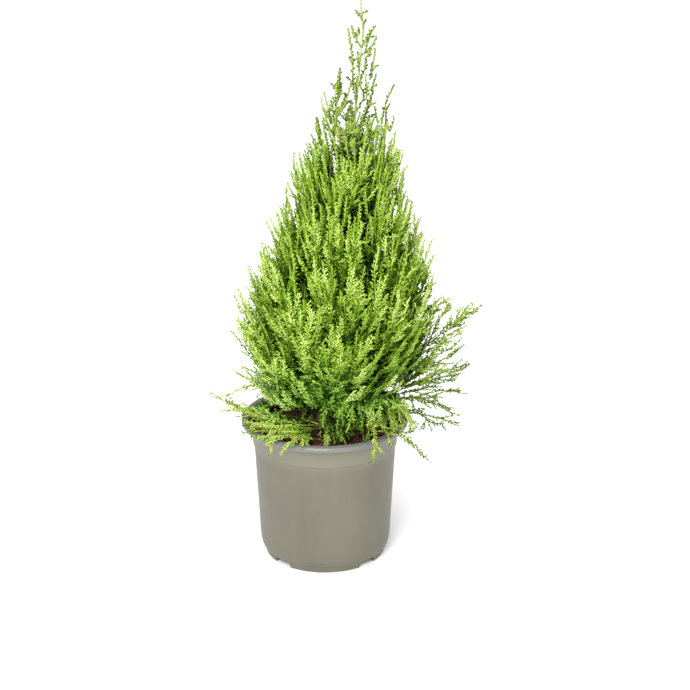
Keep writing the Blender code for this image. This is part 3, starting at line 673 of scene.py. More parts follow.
def tierSpace(low, high, middle, half):
    # A slice between two bowls round the trunk and two upright planes through it.
    def inside(spots):
        distance, azimuth = roundTrunk(spots)
        margin = crownForm["spaceMargin"]
        turn = np.abs((azimuth - middle + math.pi) % (2 * math.pi) - math.pi)
        offPlane = distance * np.sin(np.minimum(half - turn, math.pi / 2))
        return ((spots[:, 2] > wallHeight(low, distance) + margin)
                & (spots[:, 2] < wallHeight(high, distance) - margin)
                & (offPlane > margin) & clearOfPot(spots))
    return inside


def lowSpace(start, end, above=False, below=False):
    middle, half = math.radians((start + end) / 2), math.radians((end - start) / 2)
    sliceOf = tierSpace(-1.0, tiers[0][1], middle, half)
    floorZ, slope, floorDistance = longSpray["floor"]

    def inside(spots):
        floor = floorZ + slope * (np.hypot(spots[:, 0], spots[:, 1]) - floorDistance)
        kept = sliceOf(spots)
        if above:
            kept &= spots[:, 2] >= floor + crownForm["spaceMargin"]
        if below:
            kept &= spots[:, 2] <= floor - crownForm["spaceMargin"]
        return kept
    return inside


# Growth: the solids' rule

def steps(chord):
    return max(4, round(float(np.linalg.norm(chord)) / shootForm["segment"]))


def swept(start, target):
    chord = target - start
    return bezier(start, start + chord * np.array([0.68, 0.68, 0.36]), target, steps(chord))


def arched(start, target, lift):
    chord = target - start
    return bezier(start, start + chord * 0.48 + np.array([0, 0, 2 * lift]), target, steps(chord))


def carriedOn(limbPoints, target):
    along = unit(limbPoints[-1] - limbPoints[-2])
    start = limbPoints[-1] + along * crownForm["gap"]
    reach = np.linalg.norm(target - start)
    count = max(3, round(float(reach) / shootForm["segment"]))
    return np.concatenate([[start], bezier(start + along * 0.003, start + along * reach * 0.45,
                                           target, count)])


def clearRows(spots, inside, margin=crownForm["limbMargin"]):
    # Which rows of spots lie in a space and clear of all limbs.
    flat = spots.reshape(-1, 3)
    return (inside(flat) & clearOfLimbs(flat, margin)).reshape(len(spots), -1).all(1)


def keptPart(path, inside, free=1):
    # The path up to where it would leave its space or touch a limb.
    a, b = path[free - 1:-1], path[free:]
    part = np.array([0.33, 0.67, 1.0])[None, :, None]
    good = clearRows(a[:, None] + (b - a)[:, None] * part, inside)
    return path[:free + (len(good) if good.all() else int(np.argmin(good)))]


def sideDirections(path):
    # Two directions square to the path at each point, carried along without twist.
    after = np.concatenate([path[1:], path[-1:]])
    before = np.concatenate([path[:1], path[:-1]])
    tangents = unit(after - before)
    across = [unit(np.cross(tangents[0], [0.31, -0.17, 0.94]))]
    for tangent in tangents[1:]:
        across.append(unit(across[-1] - tangent * (across[-1] @ tangent)))
    across = np.array(across)
    return tangents, across, np.cross(tangents, across)


def placesOn(path, at):
    # The segment's number and the point at each place, counted in points of the path.
    i = np.minimum(at.astype(int), len(path) - 2)
    f = (at - i)[:, None]
    return i, path[i] * (1 - f) + path[i + 1] * f


def shootLength(share, plumeLength, shootShare):
    rise = np.minimum(share / 0.3, 1.0) ** 0.5
    fall = 1.0 - 0.72 * np.maximum(share - 0.3, 0.0) / 0.7
    return np.minimum(shootShare * plumeLength, shootForm["longest"]) * rise * fall


# Growth: finer than the solids. Between the solids' shoots stand spires that turn upright.
shootLook = {"least": 0.0045, "bulge": 0.10, "points": 8, "corePoints": 20,
             "tested": np.array([0.3, 0.65, 1.0])}


def shootsOf(path, draws, inside, shootShare, bare):
    # The solids' side shoots, bent so that each ends closer to its plume's own way.
    tangents, across, square = sideDirections(path)
    last = len(path) - 1
    length = lengthOf(path)
    rows = []
    for i in range(last):
        for k in range(3):
            stretch, swing, lean = draws.uniform(0.75, 1.15), draws.gauss(0, 18), draws.gauss(0, 6)
            if i < last - 1:
                rows.append((i + 0.33, (i + 0.2 + 0.27 * k) / last, stretch,
                             math.radians(150 + 120 * k + swing), lean))
    at, share, stretch, turn, lean = np.array(rows).T
    i, start = placesOn(path, at)
    out = swung(across[i], square[i], turn)
    tilt = np.radians(shootForm["lean"] + lean - 10 * share)
    reach = shootLength(share, length, shootShare) * stretch
    end = start + swung(tangents[i], out, tilt) * reach[:, None]
    spots = start[:, None] + (end - start)[:, None] * shootLook["tested"][None, :, None]
    good = clearRows(spots, inside) & (share > bare) & (reach > shootLook["least"])
    start, end, out, reach = start[good], end[good], out[good], reach[good]
    control = (start + end) / 2 + out * (shootLook["bulge"] * reach)[:, None]
    return curves(start, control, end)


def curves(start, control, end):
    # Many Bezier curves at once, each as a row of points.
    return bezier(start[:, None], control[:, None], end[:, None], shootLook["points"] - 1)


def through(first, middle, last):
    # The control point of the curve that passes through the middle.
    return 2 * middle - (first + last) / 2


spireForm = {"every": 0.0165, "longest": 0.058, "shortest": 0.022, "lean": 36.0, "first": 0.42,
             "turnOut": 0.22, "scatter": 0.06, "lowest": 0.12, "upright": 0.62, "boxMargin": 0.004,
             "lowEvery": 0.018, "lowLongest": 0.024, "leanFall": 12, "leanLuck": 6,
             "swing": 0.3, "last": 0.97, "tipShare": 0.42, "fall": (0.58, 0.7),
             "mostOfPlume": 0.6}
trunkSpireForm = {"every": 0.0060, "lean": 34.0, "low": 0.196, "high": 0.632, "slackBelow": 0.42,
                  "slack": 22, "length": (0.036, 0.062), "turnOut": 0.16, "scatter": 0.05,
                  "clear": 0.0015}


def inBox(spots, margin):
    # Inside the solids' own box, so that no twig makes the plant wider.
    low, high = np.array(cadBox[0]) + margin, np.array(cadBox[1]) - margin
    return ((spots > low) & (spots < high)).all(-1)


def fieldAt(places):
    # The way that the crown's twigs turn to: up, and further outward near its outline.
    distance, azimuth = roundTrunk(places)
    depth = np.clip(distance / crownReach(places[:, 2], azimuth), 0, 1.2)
    slope = 0.50 - 0.26 * rising(places[:, 2], 0.28, 0.12)
    return unit(upward + levelWays(azimuth) * (0.06 + slope * depth)[:, None])


def inCrown(spots):
    distance, azimuth = roundTrunk(spots)
    floorZ = crownForm["skirtZ"] + crownForm["skirtSlope"] * distance
    return ((distance < crownReach(spots[:, 2], azimuth))
            & (spots[:, 2] > floorZ) & (spots[:, 2] < trunkForm["tipZ"] - 0.003)
            & clearOfPot(spots))


def spiresFrom(start, first, later, length, inside):
    # A spire sets off one way and turns to another; where it would leave its space it is
    # tried again at three shorter lengths.
    grown = np.zeros((len(start), shootLook["points"], 3))
    left = np.ones(len(start), bool)
    for part in (1.0, 0.75, 0.55, 0.4):
        reach = (length * part)[:, None]
        control = start + first * reach * spireForm["first"]
        end = control + later * reach * (1 - spireForm["first"])
        made = curves(start, control, end)
        spots = made[:, [2, 4, 6, 7]]
        good = clearRows(spots, inside) & inBox(spots, spireForm["boxMargin"]).all(1) & left
        grown[good] = made[good]
        left &= ~good
    return grown[~left]


def spiresOn(path, rng, inside, bare, turnUp, every, longest):
    # Spires along a plume, at the golden angle round it; turnUp is how far they turn upright.
    tangents, across, square = sideDirections(path)
    length = lengthOf(path)
    count = max(2, int(length * (1 - bare) / every))
    n = np.arange(count)
    s = spireForm
    share = bare + (s["last"] - bare) * (n + rng.random(count)) / count
    i, start = placesOn(path, share * (len(path) - 1))
    turn = n * goldenTurn + rng.uniform(0, 2 * math.pi) + rng.normal(0, s["swing"], count)
    out = swung(across[i], square[i], turn)
    tilt = np.radians(s["lean"] + rng.normal(0, s["leanLuck"], count) - s["leanFall"] * share)
    first = swung(tangents[i], out, tilt)
    later = unit(tangents[i] * (1 - turnUp) + fieldAt(start) * turnUp
                 + out * s["turnOut"] + rng.normal(0, s["scatter"], (count, 3)))
    fall = s["fall"][0] * (1 - share) ** s["fall"][1]
    reach = longest * (s["tipShare"] + fall * rng.uniform(0.6, 1.0, count))
    return spiresFrom(start, first, later, np.minimum(reach, length * s["mostOfPlume"]), inside)


masses = {}
lowStarts = ("low_", "long_")
topFrom = 0.512  # from here up each twig is drawn one by one


def namesOf(starts, other=False):
    # The masses whose names start so, or the other ones.
    return [name for name in masses if name.startswith(starts) != other]


def belowTop(lines):
    # Twigs that end below there, and a few close to the trunk that end a little higher.
    tip = lines[:, -1]
    return lines[(tip[:, 2] < topFrom) | ((tip[:, 2] < 0.556) & (roundTrunk(tip)[0] < 0.013))]


def growMass(name, stem, targets, inside, seed, shootShare, bare=0.1, lift=None, unseen=()):
    stem = keptPart(stem, inside, 2)
    paths = [stem]
    for share, target in targets:
        at = share * (len(stem) - 1)
        i = min(int(at), len(stem) - 2)
        start = stem[i] + (stem[i + 1] - stem[i]) * (at - i)
        path = swept(start, target) if lift is None else arched(start, target, lift)
        paths.append(keptPart(path, inside))
    low = name.startswith(lowStarts)
    cores, lines, bares, seen = [], [], [], []  # lines: (curves, bare share, change of tone, size)
    for n, path in enumerate(paths):
        if len(path) < (4 if n else 3):
            continue
        ownBare = 0.1 if n else bare
        shoots = shootsOf(path, random.Random(seed + 10007 * n), inside, shootShare, ownBare)
        rng = seeded(seed + 10007 * n)
        s = spireForm
        if low:
            spires = spiresOn(path, rng, inside, max(ownBare, s["lowest"]), 0.0, s["lowEvery"],
                              s["lowLongest"])
        else:
            spires = spiresOn(path, rng, inCrown, s["lowest"], s["upright"], s["every"],
                              s["longest"])
        if n not in unseen:
            lines += [(belowTop(part), 0.08, 0.0, 0.8 if low else 1.0) for part in (shoots, spires)]
        cores.append(resampled(path, shootLook["corePoints"]))
        seen.append(n not in unseen)
        bares.append(ownBare)
    masses[name] = {"cores": np.array(cores), "bares": np.array(bares), "lines": lines,
                    "seen": np.array(seen)}


def nearestMass(places, names):
    # The mass that has the nearest point of a plume.
    points = np.concatenate([masses[name]["cores"].reshape(-1, 3) for name in names])
    owner = np.concatenate([np.full(masses[name]["cores"].size // 3, n)
                            for n, name in enumerate(names)])
    gap = ((places[:, None] - points[None]) ** 2).sum(-1)
    return owner[gap.argmin(1)]


def shareOut(lines, names, bare=0.08, shift=0.0, size=1.0):
    # Twigs that grow from the trunk itself go to the pieces of the masses they stand in.
    owner = nearestMass(lines[:, lines.shape[1] // 2], names)
    for n, name in enumerate(names):
        masses[name]["lines"].append((lines[owner == n], bare, shift, size))


def growTrunkSpires():
    # Upright twigs on the trunk, which fill the heart of the crown and its narrow top.
    s = trunkSpireForm
    low, high = s["low"], s["high"]
    count = int((high - low) / s["every"])
    rng = seeded(77)
    n = np.arange(count)
    z = low + (high - low) * (n + rng.random(count)) / count
    turn = n * goldenTurn + rng.normal(0, 0.25, count)
    out = levelWays(turn)
    start = trunkPoint(z) + out * (trunkRadius(z) * 0.9)[:, None]
    tilt = np.radians(s["lean"] + rng.normal(0, 5, count) + s["slack"] * (z < s["slackBelow"]))
    first = swung(upward, out, tilt)
    later = unit(fieldAt(start) + out * s["turnOut"] + rng.normal(0, s["scatter"], (count, 3)))
    length = rng.uniform(*s["length"], count)
    kept = spiresFrom(start + first * s["clear"], first, later, length, inCrown)
    shareOut(belowTop(kept), namesOf(lowStarts, other=True))


surfaceForm = {"spacing": 0.0130, "rise": 0.0115, "low": 0.186, "high": 0.618,
               "depth": (0.68, 0.95), "sparse": (0.9, 0.47, 0.06), "shortest": 0.020, "longest": 0.078,
               "best": 0.048, "arrive": 0.55, "margin": 0.0006, "boxMargin": 0.003,
               "inner": (0.2, 0.75), "outer": (0.88, 1.12), "steer": 6, "beyondCost": 10.0,
               "mostCost": 2.0}


def growSurface():
    # Twigs whose tips stand evenly over the crown. Each tip is fed from that point of the
    # plumes or the trunk from which the twig rises most nearly the crown's own way:
    # cost = steer (1 - cos) + ((length - best) / best)^2.
    s = surfaceForm
    rng = seeded(314)
    tips = []
    for ring, z in enumerate(np.arange(s["low"], s["high"], s["rise"])):
        girth = 2 * math.pi * float(np.interp(z, *crownReachAt.T))
        count = max(2, round(girth / s["spacing"] / (1 + partRising(z, *s["sparse"]))))
        azimuth = ring * goldenTurn + (np.arange(count) + rng.uniform(-0.3, 0.3, count)) \
            * 2 * math.pi / count
        height = z + rng.uniform(-0.5, 0.5, count) * s["rise"]
        outer = rng.uniform(*s["depth"], count)
        luck = rng.random(count)
        depth = outer * np.where(luck < s["inner"][0], s["inner"][1],
                                 np.where(luck > s["outer"][0], s["outer"][1], 1.0))
        tips.append(trunkPoint(height)
                    + levelWays(azimuth) * (crownReach(height, azimuth) * depth)[:, None])
    tips = np.concatenate(tips)
    names = namesOf(lowStarts, other=True)
    feeders = np.concatenate([masses[name]["cores"][:, 2:].reshape(-1, 3) for name in names]
                             + [trunkPoint(np.arange(0.192, 0.60, 0.004)),
                                resampled(limbLines["second_leader"][0][1:], 24)])
    chord = tips[:, None] - feeders[None]
    length = np.linalg.norm(chord, axis=-1)
    way = fieldAt(tips)
    cosine = (chord * way[:, None]).sum(-1) / np.maximum(length, 1e-6)
    cost = s["steer"] * (1 - cosine) + ((length - s["best"]) / s["best"]) ** 2
    cost += s["beyondCost"] * ((length < s["shortest"]) | (length > s["longest"]))
    best = cost.argmin(1)
    row = np.arange(len(tips))
    kept = cost[row, best] < s["mostCost"]
    start, tip, length, way = feeders[best][kept], tips[kept], length[row, best][kept], way[kept]
    lines = curves(start, tip - way * (length * s["arrive"])[:, None], tip)
    spots = lines[:, [3, 5, 7]]
    good = clearRows(spots, clearOfPot, s["margin"]) & inBox(spots, s["boxMargin"]).all(1)
    shareOut(belowTop(lines[good]), names)
    print("surface twigs:", int(good.sum()), "of", len(tips))


skirtForm = {
    # Tips that hang in front and to the sides: azimuth, distance, height.
    "tips": ((272, 0.064, 0.162), (289, 0.060, 0.164), (219, 0.078, 0.174), (201, 0.090, 0.178),
             (193, 0.080, 0.180), (342, 0.066, 0.188), (356, 0.072, 0.186), (300, 0.056, 0.172),
             (4, 0.080, 0.186), (330, 0.064, 0.182), (240, 0.058, 0.172), (265, 0.058, 0.160),
             (280, 0.066, 0.158), (296, 0.062, 0.160), (308, 0.070, 0.164), (318, 0.062, 0.170),
             (324, 0.076, 0.168), (336, 0.074, 0.176), (250, 0.060, 0.164), (348, 0.078, 0.180)),
    "round": 20, "roundFrom": 358, "roundBy": 189, "reach": (0.055, 0.082),
    "hang": (0.166, 0.184), "from": 0.170, "to": 0.200, "lift": 0.016, "bare": 0.22,
    "shift": 0.04, "size": 0.7,
}


def growSkirt():
    # Slack twigs under the crown: they arch out from the foot of the trunk and hang.
    s = skirtForm
    rng = seeded(61)
    more = [(s["roundFrom"] + s["roundBy"] * (n + 0.5) / s["round"] + rng.normal(0, 3),
             rng.uniform(*s["reach"]), rng.uniform(*s["hang"])) for n in range(s["round"])]
    tips = np.array([polar(spot) for spot in (*s["tips"], *more)])
    azimuth = np.radians([spot[0] for spot in (*s["tips"], *more)]) + rng.normal(0, 0.12, len(tips))
    z = rng.uniform(s["from"], s["to"], len(tips))
    start = trunkPoint(z) + levelWays(azimuth) * (trunkRadius(z) * 0.9)[:, None]
    lift = s["lift"] * rng.uniform(0.6, 1.5, len(tips))
    control = (start + tips) / 2 + upward * lift[:, None]
    names = namesOf(lowStarts)
    arcs = curves(start, control, tips)
    shareOut(arcs, names, s["bare"], s["shift"], s["size"])
    for n, arc in enumerate(arcs):
        side = spiresOn(arc, seeded(6100 + n), clearOfPot, 0.3, -0.12, 0.024, 0.022)
        shareOut(side, names, 0.08, s["shift"], s["size"])


cameraForm = {"target": (0.0229, 0.0, 0.250), "distance": 2.125, "pitch": 20.29,
              "focal": 1893.5, "width": 690.0, "sensor": 36.0,
              "straightAhead": np.array([324.6, 345.0])}  # metres, degrees and pixels


def sightAxes():
    c = cameraForm
    pitch = math.radians(c["pitch"])
    ahead = np.array([0.0, math.cos(pitch), -math.sin(pitch)])
    across = np.array([1.0, 0.0, 0.0])
    eye = np.array([0.0, 0.0, c["target"][2]]) - ahead * c["distance"]
    return eye, ahead, across, np.cross(across, ahead)


def fromPicture(place, axis, level):
    # The point at which the sight line through a place in the picture is at one depth
    # (axis 1) or one height (axis 2).
    eye, ahead, across, up = sightAxes()
    off = (np.asarray(place) - cameraForm["straightAhead"]) / cameraForm["focal"]
    way = ahead + across * off[0] - up * off[1]
    return eye + (level - eye[axis]) / way[axis] * way


def inPicture(points):
    eye, ahead, across, up = sightAxes()
    away = points - eye
    return cameraForm["straightAhead"] + cameraForm["focal"] * np.stack(
        [away @ across, -(away @ up)], -1) / (away @ ahead)[:, None]


# The leader's line in the picture, down and across, traced in its pixels.
leaderInPicture = np.array([(0, 361), (14, 363), (25, 363.4), (36, 363), (45, 361.8), (51, 362.6),
                            (57, 363.8), (66, 361.4), (75, 359.3), (87, 358.5), (100, 358),
                            (116, 358), (130, 357.2)])
# Twigs that the photo shows one by one, traced: foot, middle and tip of each as places
# across and down the 690 wide picture, in its pixels. The twigs over the rim also have the
# heights of the three points in millimetres.
# Each group's shift lowers its twigs' tones: painted shade.
drawnTwigs = {
    "top": {"names": ("top_", "crest_", "second_leader_", "leader_"), "bare": 0.06, "size": 0.72,
        "shift": -0.28, "joins": 0.012, "depths": "top", "twigs": (
        (363, 16.6, 359.7, 13.3, 356.8, 10), (365.1, 13.7, 366.5, 12, 368, 10.4),
        (363.4, 24.9, 365.5, 22.4, 367.3, 19.9), (360.9, 35.7, 360.4, 31.5, 359.9, 28.2),
        (361.4, 43.9, 355.6, 34.8, 352.7, 26.5), (359.7, 34.8, 357, 34.2, 355.6, 34),
        (355.1, 83.7, 353.1, 53.1, 348.9, 29.4), (353.9, 63.8, 350.6, 59.7, 351, 57.2),
        (359.3, 68, 359.7, 61.4, 359.3, 53.1), (353.9, 60.5, 357, 60, 359.7, 59.7),
        (363, 44.8, 368, 36.5, 372.1, 29.9), (365.5, 51.4, 370.5, 37.3, 375.9, 26.5),
        (370.5, 37.3, 372.5, 36.5, 374.6, 36.5), (366.3, 53.1, 373, 46.4, 377.5, 37.7),
        (366.3, 58, 370.5, 53.1, 372.1, 48.9), (366.3, 58, 369.7, 56.4, 372.6, 55.1),
        (370.5, 80.4, 373.8, 68.8, 376.7, 48.9), (373.8, 68, 373, 66, 372.6, 63.8),
        (373.8, 68, 376.5, 67, 379.2, 65.5), (364, 84, 365.9, 68.8, 366.7, 59.7),
        (368, 98, 368, 87.1, 367.2, 76), (371.3, 106.1, 373.4, 89.6, 376.7, 75),
        (369.7, 89.6, 373.5, 87, 377.1, 84.6), (371.3, 106.1, 374, 104, 376.7, 102.8),
        (354.7, 85.4, 351.4, 81.3, 348.5, 77.5), (366.3, 118, 368, 110, 368.8, 101),
        (341, 97, 339.8, 82.1, 341, 69.7), (340.5, 96, 341, 84, 341.2, 72),
        (337.3, 89.6, 335, 86, 333.2, 83.7), (341.5, 90.4, 342.3, 87, 342.7, 83.7),
        (336.5, 107.8, 335.5, 97.8, 337.7, 83.7), (343.9, 111.9, 344.8, 99.5, 346.4, 93.7),
        (346.4, 104.5, 347.5, 103, 348.5, 101.6), (348.1, 117.7, 348.9, 110.3, 351, 105.3),
        (355, 112, 353, 106, 352.2, 102), (335, 120.2, 333.2, 107.8, 331.9, 101.2),
        (333, 124, 328.2, 113.6, 324.5, 108.6), (332, 124, 330, 115, 329, 110.3),
        (328.2, 129.9, 325.7, 124.4, 324.5, 119.4), (321.5, 134, 319, 124.4, 317, 118.2),
        (378.8, 122, 387.1, 102, 394.9, 85.8), (364.7, 121.9, 371.3, 116.9, 375.5, 114.8),
        (379.6, 118.6, 377.1, 112.8, 375, 107.8), (380, 128, 386, 116.1, 389.6, 105),
        (391, 131, 393.3, 123.5, 394.5, 116.5), (339, 112, 338.5, 100, 339.5, 88),
        (359, 100, 356.5, 92, 356, 84), (360, 112, 364, 100, 363.5, 90), (357, 124, 352.5, 113, 350.5, 106),
        (362, 128, 366, 112, 371.5, 97))},
    "edge": {"names": ("lower_", "middle_", "upper_", "crest_", "top_"), "bare": 0.0, "size": 0.74,
        "shift": -0.16, "depths": "edge", "twigs": (
        (297, 176, 295.2, 163, 294.3, 153), (304, 172, 301.6, 163, 300.2, 154),
        (310.5, 169, 309.2, 160, 308.5, 152), (321.5, 145, 318.6, 131, 317, 119),
        (288, 230, 283.5, 217, 280.3, 206.5), (279.5, 246, 272, 232, 267, 222),
        (283, 240, 276, 229, 271.5, 219), (270, 280, 264.5, 266, 260.3, 254),
        (261, 296, 254.5, 281, 250.3, 267.5), (251, 323, 241.5, 308, 234.5, 297),
        (254, 343, 245, 330, 238.5, 320.5), (250, 354, 239.5, 341, 231.5, 331.5),
        (262, 378, 252, 371, 242, 367), (258, 366, 250, 357, 243, 352), (395, 176, 398.6, 163, 400.8, 151),
        (400.5, 196, 403, 184, 404.8, 172.5), (403, 226, 406.8, 212, 409.2, 200.5),
        (406.5, 233, 409.6, 219, 411.5, 207.5), (414.5, 270, 420.6, 254, 424.8, 240),
        (417.5, 287, 424, 274, 428, 262.5), (422.5, 304, 428.2, 292, 431.5, 282.5))},
    "spray": {"names": ("low_right", "long_"), "bare": 0.12, "size": 0.95, "shift": -0.28,
        "side": (0.012, 0.026), "depths": "fan", "twigs": (
        (416, 353, 448, 329, 482.3, 305), (461.4, 317.8, 463, 315, 464, 312.7),
        (443, 333, 455.3, 322.8, 456.8, 317.8), (451.2, 329, 457.3, 325.9, 464.5, 322.9),
        (428, 346, 443, 338.5, 459.4, 330), (447.1, 339.2, 455.3, 335.6, 459.9, 332.6),
        (439, 333, 445.1, 328, 452.2, 319.3), (420, 354, 434, 347.5, 447.1, 341.2),
        (428, 343, 438, 322, 445.6, 310.6), (444, 313, 446.8, 307, 446.1, 301.9),
        (445.6, 310.6, 449, 308, 449.2, 305.5), (419.6, 313.7, 430.8, 307.6, 436.9, 301.9),
        (426, 326, 432.9, 313.7, 440, 310.6), (429.8, 308.6, 439, 304.5, 446.1, 302.5),
        (420.6, 305.5, 424.7, 302.4, 430.8, 295.3), (419.6, 295.3, 426.7, 288.2, 432.3, 282),
        (458, 321, 468, 314.5, 475, 311), (449, 328, 460, 317, 466, 309))},
    "right": {"names": ("low_right", "long_"), "bare": 0.20, "size": 0.80, "shift": -0.27,
        "side": (0.011, 0.026), "depths": "fan", "twigs": (
        (430, 358, 446.1, 350.4, 455.3, 345.3), (420.6, 367.8, 447.1, 358.6, 456.3, 351.4),
        (388, 372, 415.5, 368.8, 436.9, 370.8), (391, 392, 412, 378, 433.9, 364.7),
        (388, 392, 432, 376, 462.4, 365.7), (440, 378, 455, 372.4, 465.5, 368.3),
        (435, 380, 447, 379.5, 455.3, 378), (392, 394, 412, 385, 435.9, 381),
        (386, 397, 412, 391, 436, 384.1), (384, 401, 412, 398, 441, 397),
        (420, 388.5, 445.1, 391.2, 459.9, 390.7), (384, 399, 424, 399, 452.2, 413.7),
        (420, 400.5, 424.5, 403, 427.8, 406.5), (428, 401.5, 431.5, 404, 433.9, 406.5),
        (409.4, 391.5, 411.9, 400.4, 412.4, 406.5), (414, 392, 429.8, 395.3, 435.9, 400.4),
        (391, 393.3, 397, 382, 403.3, 371.8), (392, 394, 401, 385, 409.4, 376),
        (388, 410, 424, 415, 457.3, 422.9), (421.6, 412.7, 427.8, 420.8, 435.9, 424.4),
        (426.5, 418, 424, 424, 421.6, 427.4), (410, 413.2, 416, 412.5, 421.6, 411.7),
        (444, 419.5, 441, 423, 443, 426))},
    "fill": {"names": ("low_right", "long_"), "bare": 0.10, "size": 0.95, "shift": -0.18,
        "side": (0.010, 0.026), "depths": "fan", "twigs": (
        (400, 384, 408, 366, 418, 346), (399, 384, 412, 364, 428, 349), (401, 386, 416, 368, 436, 357),
        (402, 387, 418, 374, 440, 363), (400, 383, 405, 362, 410, 338), (398, 382, 402, 364, 404, 345),
        (403, 386, 420, 371, 433, 350), (404, 388, 424, 378, 446, 366), (401, 385, 410, 372, 424, 360),
        (397, 381, 404, 356, 414, 330), (399, 383, 410, 358, 424, 336), (405, 388, 430, 380, 450, 376),
        (404, 380, 420, 354, 438, 326), (404, 376, 418, 346, 430, 318), (402, 372, 414, 344, 424, 322),
        (406, 382, 426, 362, 446, 340), (403, 378, 417, 358, 428, 336), (405, 370, 420, 338, 436, 312),
        (400, 366, 412, 340, 428, 308))},
    "left": {"names": ("low_",), "bare": 0.14, "size": 0.84, "shift": -0.26, "depths": "heights",
        "twigs": (
        (321, 426, 300, 431, 262, 438, 172, 171, 167), (321, 426, 278.6, 423, 244, 424.5, 176, 177, 170),
        (315, 425, 272.4, 426, 242.6, 420.6, 178, 180, 176),
        (312, 428, 283, 426.7, 244.1, 425.9, 176, 178, 168),
        (308, 430, 286.2, 432, 257.9, 427.4, 174, 176, 171),
        (316, 429, 278.6, 436.6, 251.8, 436.6, 172, 172, 164),
        (300, 432, 270, 430, 243.4, 432.8, 173, 174, 160),
        (305, 431, 290.5, 443, 281.2, 455, 173, 170, 153),
        (308, 429, 298.5, 438.1, 293.1, 445, 170, 170, 168),
        (309, 430, 307, 436, 314.5, 438.9, 168, 166, 162),
        (309, 430, 307.6, 438.1, 307.6, 445, 168, 166, 162),
        (306, 431, 303, 438, 303, 446.6, 170, 170, 167.8), (302, 432, 301, 428, 300, 423.6, 172, 176, 180),
        (316, 421, 278.6, 419.8, 258.7, 406.8, 180, 182, 184),
        (300, 425, 250.2, 410.6, 225.8, 401, 180, 186, 194),
        (296, 424, 262, 418, 234.9, 404.5, 178, 183, 191), (290, 423, 255, 413, 229, 404, 178, 182, 186),
        (300, 434, 274, 441.2, 269.4, 444.5, 171, 168, 165),
        (318, 424, 292, 416.7, 276, 417, 180, 178, 176), (296, 430, 262, 426.5, 250, 431, 174, 175, 170),
        (300, 433, 283, 434, 266, 441, 172, 171, 166), (306, 428, 276, 428.5, 262, 421.5, 176, 178, 180))},
    "front": {"names": ("low_",), "bare": 0.16, "size": 0.80, "shift": -0.26,
        "side": (0.013, 0.017), "depths": "heights", "twigs": (
        (329, 399, 326.9, 414.4, 323.1, 422.1, 198, 185, 174),
        (332, 408, 326.9, 433.6, 328.4, 446.6, 188, 172, 158),
        (339.1, 401.4, 336.8, 420, 337.6, 441.2, 195, 180, 158),
        (341, 408, 342.2, 433.6, 343, 441.2, 190, 168, 159),
        (345, 404, 349.1, 422.8, 352.1, 432.8, 192, 178, 166),
        (341.4, 393, 358.3, 409.1, 363.6, 438.1, 205, 194, 158),
        (341.4, 393, 338, 395.5, 336.8, 399, 205, 203, 200),
        (369, 412, 373.6, 405.2, 379.9, 395.5, 190, 196, 204),
        (367, 408, 369, 425, 369.7, 443.5, 190, 174, 155.5),
        (369, 414, 375, 438, 372.4, 462.6, 184, 177, 143.5),
        (375, 440, 377, 445, 378.9, 448.9, 168, 165, 160),
        (371, 411, 379.7, 421.3, 382.7, 429, 189, 182, 173),
        (378, 394, 389, 412, 399.6, 425.9, 200, 190, 176),
        (384, 408, 391.9, 420.8, 394.2, 432, 192, 184, 170),
        (398, 400, 409, 413, 410.3, 430.5, 190, 184, 170),
        (372, 431.3, 399.6, 435.1, 427.9, 459.6, 172, 173, 142),
        (399, 434.5, 406.5, 432, 413.3, 430.1, 174, 175, 175),
        (399, 435.5, 406.5, 441.7, 410.3, 443.5, 174, 170, 167),
        (385, 432.4, 389.5, 438.1, 389.2, 443.5, 173, 170, 166),
        (380, 426, 393.5, 428.2, 406.5, 423.6, 176, 176, 178),
        (355, 400, 364, 414, 371, 428, 198, 188, 172), (350, 404, 356, 418, 357, 430, 196, 184, 168),
        (364, 402, 360, 420, 352, 426, 196, 184, 172), (384, 402, 379, 416, 384, 424, 194, 184, 176),
        (390, 396, 399, 404, 404, 416, 196, 192, 182), (335, 403, 330, 411, 333, 420, 194, 186, 176),
        (381, 394, 388, 404, 396, 417, 186, 192, 184), (384, 392, 393, 402, 400, 415, 188, 192, 184),
        (378, 397, 386, 408, 391, 420, 184, 186, 176), (386, 396, 396, 406, 402, 420, 188, 190, 180),
        (372, 396, 380, 406, 384, 418, 182, 184, 174), (388, 398, 394, 410, 395, 426, 186, 186, 174),
        (376, 400, 383, 412, 386, 424, 182, 182, 172), (366, 398, 372, 408, 375, 421, 182, 182, 172),
        (368, 410, 374, 401, 380, 395, 178, 184, 188), (362, 402, 366, 412, 366, 424, 180, 180, 170),
        (390, 394, 398, 400, 405, 409, 190, 194, 188))},
    "hang": {"names": ("low_",), "bare": 0.06, "size": 0.90, "shift": -0.18, "side": (0.010, 0.022),
        "depths": "heights", "above": (212, 207), "twigs": (
        (325, 397, 325, 404, 323, 422, 184), (331, 397, 331, 402, 332, 415, 191),
        (336, 393, 340, 404, 346, 429, 172), (337, 398, 337, 403, 336, 415, 192),
        (343, 394, 341, 404, 337, 427, 175), (345, 396, 344, 405, 343, 424, 181),
        (350, 391, 344, 396, 336, 409, 191), (355, 398, 353, 407, 349, 428, 179),
        (357, 396, 360, 405, 364, 425, 180), (363, 397, 368, 405, 376, 425, 181),
        (363, 395, 365, 400, 368, 410, 194), (371, 392, 367, 402, 362, 424, 176),
        (375, 398, 374, 403, 372, 413, 194), (377, 396, 374, 405, 371, 425, 180),
        (381, 396, 380, 405, 379, 425, 179), (386, 395, 388, 402, 391, 418, 185),
        (391, 393, 396, 402, 403, 422, 180), (394, 402, 403, 409, 417, 426, 185),
        (396, 390, 398, 396, 401, 410, 189), (403, 399, 405, 405, 409, 420, 187))}
}


